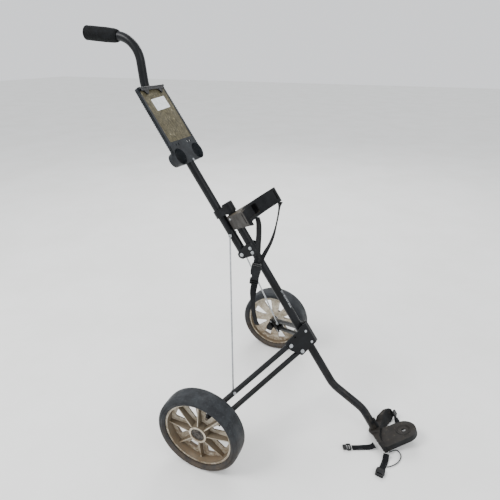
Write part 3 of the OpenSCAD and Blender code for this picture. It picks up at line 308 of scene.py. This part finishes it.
def cradle_polypropylene():
    """Moulded polypropylene saddle: dark inside, its near outer face greyed by dry earth."""
    made, tree, shader, place = new_material("cradle_polypropylene", IOR=1.49, Specular_IOR_Level=0.15)
    colours = bpy.context.scene.cart_colours
    near_out = -0.653 * OUT + Vector((0, -0.757, 0))
    layered(
        tree, shader, mottle(tree, place, colours.saddle, linear("#151719"), 26),
        (linear("#25221f"), patches(tree, place, 34, 0.02, 0.4, facing(tree, near_out, 0.7, 0.95))),
        (colours.dust, patches(tree, place, 12, 0.38, 0.62, facing(tree, UP_TUBE, 0.55, 0.95))),
        (linear("#5b5547"), patches(tree, place, 2.2, 0.68, 0.76)),
    )
    grain(tree, shader, place, 0.9, 0.1, 0.46, 0.68)
    return made


def ledge_polypropylene():
    """Moulded polypropylene foot: a brown film and smears on what faces up, near black below."""
    made, tree, shader, place = new_material("ledge_polypropylene", IOR=1.49, Specular_IOR_Level=0.2)
    colours = bpy.context.scene.cart_colours
    film = patches(tree, place, 26, 0.1, 0.55, facing(tree, (-0.25, 0, 0.97), 0.35, 0.9))
    smears = patches(tree, place, 11, 0.58, 0.8, facing(tree, (0, -0.3, 0.95), 0.2, 0.9))
    layered(
        tree, shader, mottle(tree, place, linear("#0e0f10"), linear("#1b1c1d"), 20),
        (linear("#24211e"), film), (colours.dust, smears),
    )
    grain(tree, shader, place, 1.1, 0.12, 0.5, 0.75)
    return made


def console_polypropylene():
    """Moulded polypropylene console: blue-black with a soft sheen and pale flecks of dust."""
    made, tree, shader, place = new_material("console_polypropylene", IOR=1.49, Specular_IOR_Level=0.18)
    layered(
        tree, shader, mottle(tree, place, bpy.context.scene.cart_colours.console, linear("#23272b"), 30),
        (linear("#595a58"), patches(tree, place, 4, 0.62, 0.78)),
    )
    grain(tree, shader, place, 0.8, 0.07, 0.36, 0.56)
    return made


def weathered_plate():
    """Painted hardboard that rain has stained: olive brown with pale streaks and cream patches."""
    made, tree, shader, place = new_material("weathered_plate", IOR=1.5, Specular_IOR_Level=0.25)
    streaky = add(tree, "ShaderNodeMapping", {
        "Vector": place, "Rotation": (0, LEAN, 0), "Scale": (1, 1, 0.32)}).outputs["Vector"]
    card = bpy.context.scene.cart_colours.card
    layered(
        tree, shader, mottle(tree, streaky, card, linear("#5a543f"), 9, 0.35, 0.65),
        (linear("#766f57"), patches(tree, streaky, 5, 0.52, 0.7)),
        (linear("#8d866c"), patches(tree, place, 15, 0.6, 0.68)),
        (linear("#26231a"), patches(tree, place, 3.5, 0.58, 0.72)),
    )
    grain(tree, shader, place, 1.3, 0.15, 0.6, 0.82)
    return made


def zinc_plate():
    """Zinc-plated steel: silvery, dulled in patches by bloom, with small brown spots."""
    made, tree, shader, place = new_material("zinc_plate", Metallic=0.9)
    zinc = bpy.context.scene.cart_colours.zinc
    layered(
        tree, shader, mottle(tree, place, zinc, linear("#8d9092"), 8, 0.35, 0.7),
        (linear("#6b6257"), patches(tree, place, 2.5, 0.64, 0.74)),
    )
    grain(tree, shader, place, 0.7, 0.04, 0.26, 0.46)
    return made


def dirty_rim_with_painted_shade():
    """Moulded nylon rim, once cream: pale worn patches, painted shade on the fins' sides and the faces that
    run in towards the hub plate, and dry mud low on the barrel.
    """
    made, tree, shader, place = new_material("dirty_rim_with_painted_shade", IOR=1.53)
    rim = bpy.context.scene.cart_colours.rim
    axes = add(tree, "ShaderNodeSeparateXYZ", {"Vector": add(tree, "ShaderNodeTexCoord").outputs["Normal"]})
    sideways = add(tree, "ShaderNodeMath", {0: axes.outputs["Y"]}, operation="ABSOLUTE")
    # Painted shade: faces that run in towards the hub plate are darkened, so the fins' edges stand out pale.
    painted_shade_inward = add(tree, "ShaderNodeMapRange", {
        "Value": sideways.outputs[0], "From Min": 0.9, "From Max": 0.35}).outputs["Result"]
    layered(
        tree, shader, mottle(tree, place, rim, linear("#8a7f6c"), 18),
        (linear("#cfc7b5"), patches(tree, place, 7, 0.56, 0.7)),
        # Painted shade on the faces that run in towards the hub plate.
        (linear("#5f5545"), painted_shade_inward),
        (linear("#6b5a45"), patches(tree, place, 10, 0.36, 0.6, height(tree, place, 0.15, 0.045))),
        (linear("#544838"), patches(tree, place, 3, 0.6, 0.7)),
    )
    grain(tree, shader, place, 1.0, 0.12, 0.5, 0.74)
    return made


def worn_tyre():
    """Blow-moulded rubbery PVC tyre: charcoal, scuffed smooth, brown dust on its lower half."""
    made, tree, shader, place = new_material("worn_tyre", IOR=1.52, Specular_IOR_Level=0.2)
    layered(
        tree, shader, mottle(tree, place, bpy.context.scene.cart_colours.tyre, linear("#2a2d30"), 30),
        (linear("#3c3f42"), patches(tree, place, 6, 0.56, 0.74)),
        (linear("#463d34"), patches(tree, place, 16, 0.25, 0.62, height(tree, place, 0.17, 0.01))),
        (linear("#232426"), patches(tree, place, 2.2, 0.62, 0.7)),
    )
    grain(tree, shader, place, 1.6, 0.16, 0.48, 0.7)
    return made


def hub_plastic():
    """Dark moulded hub cap with brown dirt pressed into it."""
    made, tree, shader, place = new_material("hub_plastic", IOR=1.53)
    layered(tree, shader, mottle(tree, place, linear("#1f1c19"), linear("#3a322a"), 7))
    grain(tree, shader, place, 1.0, 0.1, 0.45, 0.7)
    return made


def bush_nylon():
    """White nylon bushes, slightly waxy, greyed in patches."""
    made, tree, shader, place = new_material("bush_nylon", IOR=1.53, Subsurface_Weight=0.05)
    layered(tree, shader, mottle(tree, place, linear("#d3d0c6"), linear("#a9a598"), 5))
    grain(tree, shader, place, 0.8, 0.03, 0.35, 0.5)
    return made


def grip_foam():
    """Closed-cell foam sleeve: deep black and matte, with small open pores."""
    made, tree, shader, place = new_material(
        "grip_foam", IOR=1.45, Specular_IOR_Level=0.15, Roughness=0.78)
    layered(tree, shader, mottle(tree, place, linear("#08090a"), linear("#111315"), 12))
    pores = add(tree, "ShaderNodeTexVoronoi", {"Vector": place, "Scale": per_metre(1.3)})
    soft = add(tree, "ShaderNodeTexNoise", {"Vector": place, "Scale": per_metre(5), "Detail": 3.0})
    both = add(tree, "ShaderNodeMath", {
        0: pores.outputs["Distance"], 1: soft.outputs["Fac"]}, operation="ADD")
    raised(tree, shader, both.outputs[0], 0.35, 0.9)
    return made


def woven_webbing():
    """Woven polypropylene webbing: ribs along its length and picks across, drawn at their real size."""
    made, tree, shader, _ = new_material(
        "woven_webbing", IOR=1.49, Specular_IOR_Level=0.15, Roughness=0.7)
    along = add(tree, "ShaderNodeUVMap", uv_map=WEB_UV).outputs["UV"]
    ribs = add(tree, "ShaderNodeTexWave", {"Vector": along, "Scale": wave_scale(1.9)}, bands_direction="Y")
    picks = add(tree, "ShaderNodeTexWave", {"Vector": along, "Scale": wave_scale(1.3)}, bands_direction="X")
    weave = add(tree, "ShaderNodeMath", {
        0: ribs.outputs["Fac"], 1: picks.outputs["Fac"]}, operation="MULTIPLY").outputs[0]
    stops = [(0.1, bpy.context.scene.cart_colours.webbing), (0.9, linear("#15171a"))]
    tone = add(tree, "ShaderNodeValToRGB", {"Fac": weave}, stops=stops)
    faded = patches(tree, along, 14, 0.5, 0.75)
    layered(tree, shader, tone.outputs["Color"], (linear("#1c1d20"), faded))
    raised(tree, shader, weave, 0.3, 0.9)
    return made


def braided_cord():
    """Thin braided polyester cord: slanting strands about a millimetre apart."""
    made, tree, shader, _ = new_material(
        "braided_cord", IOR=1.55, Specular_IOR_Level=0.2, Roughness=0.62)
    along = add(tree, "ShaderNodeUVMap", uv_map=WEB_UV).outputs["UV"]
    strands = add(tree, "ShaderNodeTexWave", {
        "Vector": along, "Scale": wave_scale(1.4)}, bands_direction="DIAGONAL").outputs["Fac"]
    stops = [(0.2, linear("#0d0e10")), (0.9, linear("#2a2c2f"))]
    tone = add(tree, "ShaderNodeValToRGB", {"Fac": strands}, stops=stops)
    layered(tree, shader, tone.outputs["Color"])
    raised(tree, shader, strands, 0.2)
    return made


def sewing_thread():
    """Bonded nylon thread, a little lighter and glossier than the webbing."""
    made, tree, shader, place = new_material("sewing_thread", IOR=1.53, Roughness=0.45)
    layered(tree, shader, mottle(tree, place, linear("#2b2d30"), linear("#3d3f43"), 1.5))
    return made


def label_paper():
    """Coated paper label: off-white with faint grey stains."""
    made, tree, shader, place = new_material("label_paper", IOR=1.5)
    layered(
        tree, shader, mottle(tree, place, linear("#e4e6e8"), linear("#d3d5d6"), 12),
        (linear("#a9aeb3"), patches(tree, place, 6, 0.62, 0.78)),
    )
    grain(tree, shader, place, 1.2, 0.03, 0.42, 0.6)
    return made


def worn_foil():
    """Silvery foil stripe whose print has rubbed away in flakes."""
    made, tree, shader, place = new_material("worn_foil", Metallic=0.35)
    layered(tree, shader, linear("#a4a8ab"), (linear("#2a2c2f"), patches(tree, place, 4, 0.42, 0.52)))
    grain(tree, shader, place, 1.0, 0.05, 0.35, 0.55)
    return made


def coat(material, *names):
    """Gives CAD nodes their finish."""
    for name in names:
        slots = NODES[name].data.materials
        slots.clear()
        slots.append(material)


# ---- Shaping tools ----


def select_only(thing):
    bpy.ops.object.select_all(action="DESELECT")
    thing.select_set(True)
    bpy.context.view_layer.objects.active = thing


def settle(thing):
    """Puts a modelled piece's place into its mesh, so that its object sits at the origin."""
    select_only(thing)
    bpy.ops.object.transform_apply(location=True, rotation=True, scale=True)
    return thing


def apply_modifiers(thing):
    select_only(thing)
    for modifier in list(thing.modifiers):
        bpy.ops.object.modifier_apply(modifier=modifier.name)


def curve_point(values, i, t):
    """A point of the smooth curve through the values, between number i and the next."""
    a, b, c, d = values[max(i - 1, 0)], values[i], values[i + 1], values[min(i + 2, len(values) - 1)]
    straight = 2 * b + t * (c - a)
    return 0.5 * (straight + t * t * (2 * a - 5 * b + 4 * c - d) + t ** 3 * (3 * b - a - 3 * c + d))


def smoothed(values, steps):
    """Vectors on one smooth curve through the values."""
    values = [Vector(v) for v in values]
    found = [curve_point(values, i, k / steps) for i in range(len(values) - 1) for k in range(steps)]
    return found + [values[-1]]


def placed(points):
    """A route's places in the cart's own frame."""
    return [Vector((AXLE_X + x, y, z)) for x, y, z in points]


def band_profile(width, thickness):
    """Half of a webbing's section from edge to edge: flat with rounded selvedges."""
    half, side = width / 2, thickness / 2
    top = [(-half, 0), (-half + 0.25 * side, 0.75 * side), (-half + side, side), (-half / 2, 0.9 * side),
           (0, 0.9 * side), (half / 2, 0.9 * side), (half - side, side), (half - 0.25 * side, 0.75 * side)]
    return top + [(-x, -z) for x, z in top]


def round_profile(diameter, sides=12):
    turns = [2 * math.pi * k / sides for k in range(sides)]
    return [(diameter / 2 * math.cos(a), -diameter / 2 * math.sin(a)) for a in turns]


def sweep(name, path, across, profile, material):
    """A closed skin that carries a section along a path, with its length and width as UV, in metres."""
    mesh = bpy.data.meshes.new(name)
    shape = bmesh.new()
    uv = shape.loops.layers.uv.new(WEB_UV)
    rings, travelled, travel = [], [], 0.0
    for i, place in enumerate(path):
        along = (path[min(i + 1, len(path) - 1)] - path[max(i - 1, 0)]).normalized()
        face = along.cross(across[i]).normalized()
        side = face.cross(along)
        rings.append([shape.verts.new(place + x * side + z * face) for x, z in profile])
        travel += (place - path[i - 1]).length if i else 0.0
        travelled.append(travel)
    girth = [0.0]
    for k in range(len(profile)):
        a, b = profile[k], profile[(k + 1) % len(profile)]
        girth.append(girth[-1] + math.hypot(b[0] - a[0], b[1] - a[1]))
    for i in range(len(rings) - 1):
        for k in range(len(profile)):
            n = (k + 1) % len(profile)
            skin = shape.faces.new((rings[i][k], rings[i + 1][k], rings[i + 1][n], rings[i][n]))
            places = ((i, k), (i + 1, k), (i + 1, k + 1), (i, k + 1))
            for loop, (row, column) in zip(skin.loops, places):
                loop[uv].uv = (travelled[row], girth[column])
            skin.smooth = True
    shape.faces.new(list(rings[0]))
    shape.faces.new(list(reversed(rings[-1])))
    bmesh.ops.recalc_face_normals(shape, faces=shape.faces)
    shape.to_mesh(mesh)
    shape.free()
    mesh.materials.append(material)
    made = bpy.data.objects.new(name, mesh)
    bpy.context.scene.collection.objects.link(made)
    return made


def strap(name, route, width, material, steps=4):
    """A webbing strap along a route of places and directions across it, and its centreline."""
    path = smoothed(placed([place for place, _ in route]), steps)
    across = smoothed([direction for _, direction in route], steps)
    thickness = bpy.context.scene.cart_sizes.web_thickness
    return sweep(name, path, across, band_profile(width, thickness), material), path, across


def thread_stitch(size):
    """One stitch: a flattened bead of thread, modelled once and copied."""
    bpy.ops.object.select_all(action="DESELECT")
    bpy.ops.mesh.primitive_uv_sphere_add(segments=8, ring_count=6, radius=size / 2)
    made = bpy.context.active_object
    bpy.ops.object.mode_set(mode="EDIT")
    bpy.ops.mesh.select_all(action="SELECT")
    bpy.ops.transform.resize(value=(0.32, 1.0, 0.24))
    bpy.ops.object.mode_set(mode="OBJECT")
    bpy.ops.object.shade_smooth()
    return made


def stitches(name, path, across, width, first, count, material):
    """Two rows of stitches along a strap, on both of its faces, from one ring of its path."""
    thickness = bpy.context.scene.cart_sizes.web_thickness
    bead = thread_stitch(STITCH)
    made = []
    for i in range(first, first + count):
        along = (path[i + 1] - path[i - 1]).normalized()
        face = along.cross(across[i]).normalized()
        side = face.cross(along)
        turn = Matrix((side, along, face)).transposed().to_4x4()
        for row in (-1, 1):
            for front in (-1, 1):
                spot = path[i] + row * side * width * 0.3 + front * face * thickness * 0.46
                copy = bpy.data.objects.new(name, bead.data.copy())
                copy.data.transform(Matrix.Translation(spot) @ turn)
                bpy.context.scene.collection.objects.link(copy)
                made.append(copy)
    bpy.data.objects.remove(bead)
    select_only(made[0])
    for copy in made:
        copy.select_set(True)
    bpy.ops.object.join()
    made[0].name = name
    made[0].data.materials.clear()
    made[0].data.materials.append(material)
    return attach(made[0], "root")


# ---- Camera and cords ----


class CART_OT_camera(bpy.types.Operator):
    """Place the camera in front of the near wheel, looking down at the cart"""

    bl_idname = "cart.camera"
    bl_label = "Camera"

    def execute(self, context):
        lens = bpy.data.cameras.new("camera")
        lens.lens = 32.45
        lens.sensor_width = 36
        made = bpy.data.objects.new("camera", lens)
        made.location = CAMERA_PLACE
        made.rotation_euler = CAMERA_TURN
        context.scene.collection.objects.link(made)
        context.scene.camera = made
        return {"FINISHED"}


class CART_OT_upper_straps(bpy.types.Operator):
    """Weave the two halves of the upper bag strap, which hang from the saddle's tips"""

    bl_idname = "cart.upper_straps"
    bl_label = "Upper straps"

    def execute(self, context):
        width = context.scene.cart_sizes.upper_web
        webbing, thread = woven_webbing(), sewing_thread()
        for name, route, node, end, buckle, first in (
            ("upper_webbing_near", UPPER_NEAR, "upper_strap_near", "connector", "upper_buckle_socket", 30),
            ("upper_webbing_far", UPPER_FAR, "upper_strap_far", "bare", "upper_buckle_plug", 38),
        ):
            made, path, across = strap(name, route, width, webbing)
            seam = stitches(name + "_stitches", path, across, width, first, 5, thread)
            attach(made, "root")
            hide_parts(node)
        return {"FINISHED"}


class CART_OT_strap_loop(bpy.types.Operator):
    """Braid the thin cord loop that lies in front of the lower bracket"""

    bl_idname = "cart.strap_loop"
    bl_label = "Cord loop"

    def execute(self, context):
        thick = context.scene.cart_sizes.loop_thickness
        path = smoothed(placed(LOOP), 4)
        made = sweep("loop_cord", path, [Vector((0, 0, 1))] * len(path), round_profile(thick), braided_cord())
        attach(made, "root")
        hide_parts("strap_loop")
        return {"FINISHED"}


class CART_OT_lower_straps(bpy.types.Operator):
    """Weave the three short ends of webbing at the lower bracket"""

    bl_idname = "cart.lower_straps"
    bl_label = "Lower straps"

    def execute(self, context):
        width = context.scene.cart_sizes.lower_web
        webbing, thread = woven_webbing(), sewing_thread()
        for name, route, node in (
            ("lower_webbing_rear", LOWER_REAR, "lower_strap_rear"),
            ("lower_webbing_front", LOWER_FRONT, "lower_strap_front"),
            ("wing_webbing", WING, "wing_strap"),
        ):
            made, path, across = strap(name, route, width, webbing)
            seam = stitches(name + "_stitches", path, across, width, 12, 4, thread)
            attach(made, "root")
            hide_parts(node)
        return {"FINISHED"}


# ---- Finishes of the frame's own parts ----


class CART_OT_tubes(bpy.types.Operator):
    """Paint the steel tubes, hinge plates and leg brackets"""

    bl_idname = "cart.tubes"
    bl_label = "Tubes and plates"

    def execute(self, context):
        coat(
            painted_steel(), "main_tube", "handle_tube", "hinge_plate_near", "hinge_plate_far",
            "leg_bracket_outer", "leg_bracket_inner", "upper_leg_near", "upper_leg_far",
            "lower_leg_near", "lower_leg_far",
        )
        return {"FINISHED"}


class CART_OT_fittings(bpy.types.Operator):
    """Finish the black moulded fittings"""

    bl_idname = "cart.fittings"
    bl_label = "Moulded fittings"

    def execute(self, context):
        coat(
            moulded_plastic("fitting_abs", linear("#0a0b0c"), linear("#141619"), 0.9, 0.34, 0.5),
            "tube_cap", "foot_plug", "handle_band", "grip_cap", "score_clip", "console_clamps",
        )
        coat(
            moulded_plastic("hub_arm_nylon", linear("#0c0c0d"), linear("#171718"), 1.3, 0.45, 0.65),
            "hub_bracket_near", "hub_bracket_far",
        )
        coat(
            moulded_plastic("buckle_acetal", linear("#0b0c0e"), linear("#16181b"), 0.8, 0.26, 0.42),
            "upper_buckle_socket", "upper_buckle_plug", "lower_buckle_plug", "lower_buckle_socket",
            "cam_buckle",
        )
        return {"FINISHED"}


class CART_OT_saddles(bpy.types.Operator):
    """Finish the upper cradle and the lower bracket"""

    bl_idname = "cart.saddles"
    bl_label = "Bag supports"

    def execute(self, context):
        coat(cradle_polypropylene(), "upper_cradle")
        coat(ledge_polypropylene(), "lower_bracket")
        return {"FINISHED"}


class CART_OT_metalwork(bpy.types.Operator):
    """Plate the lift rods, axles, bolts, screws and rivets"""

    bl_idname = "cart.metalwork"
    bl_label = "Plated metalwork"

    def execute(self, context):
        coat(
            zinc_plate(), "hinge_rivets", "handle_pivot_pin", "cradle_screws", "leg_bracket_screws",
            "leg_bolts_near", "leg_bolts_far", "lower_bracket_screws", "rod_pin", "console_screws",
            "hub_bolts_near", "hub_bolts_far", "axle_near", "axle_far", "rod_near", "rod_far",
            "rod_rivet_near", "rod_rivet_far",
        )
        return {"FINISHED"}


class CART_OT_wheels(bpy.types.Operator):
    """Finish the rims, tyres, hub caps and bushes"""

    bl_idname = "cart.wheels"
    bl_label = "Wheels"

    def execute(self, context):
        coat(dirty_rim_with_painted_shade(), "rim_near", "rim_far")
        coat(worn_tyre(), "tyre_near", "tyre_far")
        coat(hub_plastic(), "hub_cap_near", "hub_cap_far")
        coat(bush_nylon(), "wheel_bushes_near", "wheel_bushes_far")
        return {"FINISHED"}


class CART_OT_grip(bpy.types.Operator):
    """Finish the foam grip"""

    bl_idname = "cart.grip"
    bl_label = "Grip"

    def execute(self, context):
        coat(grip_foam(), "grip")
        return {"FINISHED"}


class CART_OT_console(bpy.types.Operator):
    """Finish the console and its weathered card plate"""

    bl_idname = "cart.console"
    bl_label = "Console"

    def execute(self, context):
        coat(console_polypropylene(), "console")
        coat(weathered_plate(), "card_plate")
        return {"FINISHED"}


# ---- Small trim that is modelled here ----


def on_handle(out, across, up):
    """A place measured from the fold pivot: out from the handle, across it and up along it."""
    return FOLD + out * OUT + Vector((0, across, 0)) + up * UP_TUBE


def panel_turn(tilt=0.0):
    """Turns a piece's x across the console, its y up along it and its z out of its face."""
    return Matrix((Vector((0, 1, 0)), UP_TUBE, OUT)).transposed().to_4x4() @ Matrix.Rotation(tilt, 4, "Z")


class CART_OT_label(bpy.types.Operator):
    """Stick the blank label on the card plate"""

    bl_idname = "cart.label"
    bl_label = "Blank label"

    def execute(self, context):
        sizes = context.scene.cart_sizes
        bpy.ops.object.select_all(action="DESELECT")
        bpy.ops.mesh.primitive_plane_add(size=1)
        made = context.active_object
        made.name = "console_label"
        made.scale = (sizes.label_width, sizes.label_height, 1)
        bpy.ops.object.transform_apply(scale=True)
        bpy.ops.object.mode_set(mode="EDIT")
        bpy.ops.mesh.select_all(action="SELECT")
        bpy.ops.mesh.bevel(offset=LABEL_CORNER, segments=4, affect="VERTICES")
        bpy.ops.object.mode_set(mode="OBJECT")
        paper = made.modifiers.new("paper", "SOLIDIFY")
        paper.thickness = 0.25 * MM
        paper.offset = 1
        apply_modifiers(made)
        centre = on_handle(PANEL_FACE - 0.48 * MM, LABEL_ACROSS, LABEL_UP)
        made.matrix_world = Matrix.Translation(centre) @ panel_turn(LABEL_TILT)
        settle(made)
        made.data.materials.append(label_paper())
        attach(made, "handle")
        return {"FINISHED"}


class CART_OT_console_ribs(bpy.types.Operator):
    """Model the row of small ribs down each side wall of the console"""

    bl_idname = "cart.console_ribs"
    bl_label = "Console ribs"

    def execute(self, context):
        low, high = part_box("console")
        half = (high.y - low.y) / 2
        narrowing = math.atan(5 / 216)
        pitch = context.scene.cart_sizes.rib_pitch
        bpy.ops.object.select_all(action="DESELECT")
        bpy.ops.mesh.primitive_cube_add(size=1)
        rib = context.active_object
        rib.scale = RIB
        bpy.ops.object.transform_apply(scale=True)
        bpy.ops.object.mode_set(mode="EDIT")
        bpy.ops.mesh.select_all(action="SELECT")
        bpy.ops.mesh.bevel(offset=0.5 * MM, segments=2, affect="EDGES")
        bpy.ops.object.mode_set(mode="OBJECT")
        made = []
        count = int((PANEL_HIGH - PANEL_LOW - 70 * MM) / pitch)
        for side in (-1, 1):
            for i in range(count):
                up = PANEL_LOW + 40 * MM + i * pitch
                across = side * (half - (up - PANEL_LOW - 26 * MM) * math.tan(narrowing) + 0.2 * MM)
                copy = bpy.data.objects.new("console_ribs", rib.data.copy())
                place = on_handle(PANEL_FACE - 5 * MM, across, up)
                copy.data.transform(Matrix.Translation(place) @ panel_turn())
                context.scene.collection.objects.link(copy)
                made.append(copy)
        bpy.data.objects.remove(rib)
        select_only(made[0])
        for copy in made:
            copy.select_set(True)
        bpy.ops.object.join()
        made[0].name = "console_ribs"
        made[0].data.materials.clear()
        made[0].data.materials.append(NODES["console"].data.materials[0])
        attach(made[0], "handle")
        return {"FINISHED"}


class CART_OT_tube_stripe(bpy.types.Operator):
    """Wrap the worn silvery stripe round the front of the main tube"""

    bl_idname = "cart.tube_stripe"
    bl_label = "Tube stripe"

    def execute(self, context):
        bpy.ops.object.select_all(action="DESELECT")
        bpy.ops.mesh.primitive_cylinder_add(
            vertices=72, radius=TUBE_R + FOIL, depth=STRIPE_LENGTH, end_fill_type="NOTHING")
        made = context.active_object
        made.name = "tube_stripe"
        bpy.ops.object.mode_set(mode="EDIT")
        shape = bmesh.from_edit_mesh(made.data)
        for face in shape.faces:
            middle = face.calc_center_median()
            face.select_set(abs(math.atan2(middle.y, middle.x)) > STRIPE_TURN / 2)
        bmesh.update_edit_mesh(made.data)
        bpy.ops.mesh.delete(type="FACE")
        bpy.ops.mesh.select_all(action="SELECT")
        bpy.ops.mesh.subdivide(number_cuts=2)
        bpy.ops.object.mode_set(mode="OBJECT")
        foil = made.modifiers.new("foil", "SOLIDIFY")
        foil.thickness = FOIL
        foil.offset = 1
        apply_modifiers(made)
        bpy.ops.object.shade_smooth_by_angle(angle=math.radians(30))
        front = Matrix((OUT, Vector((0, 1, 0)), UP_TUBE)).transposed().to_4x4()
        place = on_handle(HANDLE_GAP, 0, STRIPE_UP)
        made.matrix_world = Matrix.Translation(place) @ front @ Matrix.Rotation(math.radians(-12), 4, "Z")
        settle(made)
        made.data.materials.append(worn_foil())
        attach(made, "root")
        return {"FINISHED"}


# ---- Stage ----


class CART_OT_stage(bpy.types.Operator):
    """Lay the pale floor and hang the soft studio lights"""

    bl_idname = "cart.stage"
    bl_label = "Stage"

    def execute(self, context):
        scene = context.scene
        bpy.ops.object.select_all(action="DESELECT")
        bpy.ops.mesh.primitive_plane_add(size=30, location=(0, 0, -0.0005))
        floor = context.active_object
        floor.name = "floor"
        made, tree, shader, place = new_material("studio_floor", Roughness=0.9)
        layered(tree, shader, mottle(tree, place, scene.cart_colours.floor, linear("#ecece9"), 400))
        floor.data.materials.append(made)
        world = bpy.data.worlds.new("studio")
        world.use_nodes = True
        sky = world.node_tree.nodes["Background"]
        sky.inputs["Color"].default_value = linear("#f4f6f9")
        sky.inputs["Strength"].default_value = 1.25
        scene.world = world
        for name, place, size, power in LIGHTS:
            lamp = bpy.data.lights.new(name, "AREA")
            lamp.energy = power
            lamp.size = size
            light = bpy.data.objects.new(name, lamp)
            light.location = place
            aim = LIGHT_AIM - Vector(place)
            light.rotation_euler = aim.to_track_quat("-Z", "Y").to_euler()
            scene.collection.objects.link(light)
        return {"FINISHED"}


# ---- The add-on ----

STEPS = (
    CART_OT_camera, CART_OT_upper_straps, CART_OT_strap_loop, CART_OT_lower_straps, CART_OT_tubes,
    CART_OT_fittings, CART_OT_saddles, CART_OT_metalwork, CART_OT_wheels, CART_OT_grip, CART_OT_console,
    CART_OT_label, CART_OT_console_ribs, CART_OT_tube_stripe, CART_OT_stage,
)


class CART_PT_panel(bpy.types.Panel):
    bl_label = "Pull cart"
    bl_idname = "CART_PT_panel"
    bl_space_type = "VIEW_3D"
    bl_region_type = "UI"
    bl_category = "Pull cart"

    def draw(self, context):
        for group in (context.scene.cart_sizes, context.scene.cart_colours):
            for name in group.__annotations__:
                self.layout.prop(group, name)
        for step in STEPS:
            self.layout.operator(step.bl_idname)


CLASSES = (CartSizes, CartColours, *STEPS, CART_PT_panel)


def register():
    for one in CLASSES:
        bpy.utils.register_class(one)
    bpy.types.Scene.cart_sizes = bpy.props.PointerProperty(type=CartSizes)
    bpy.types.Scene.cart_colours = bpy.props.PointerProperty(type=CartColours)


def unregister():
    del bpy.types.Scene.cart_colours
    del bpy.types.Scene.cart_sizes
    for one in reversed(CLASSES):
        bpy.utils.unregister_class(one)


def main():
    register()
    for step in STEPS:
        group, name = step.bl_idname.split(".")
        getattr(getattr(bpy.ops, group), name)()


if __name__ == "__main__":
    main()
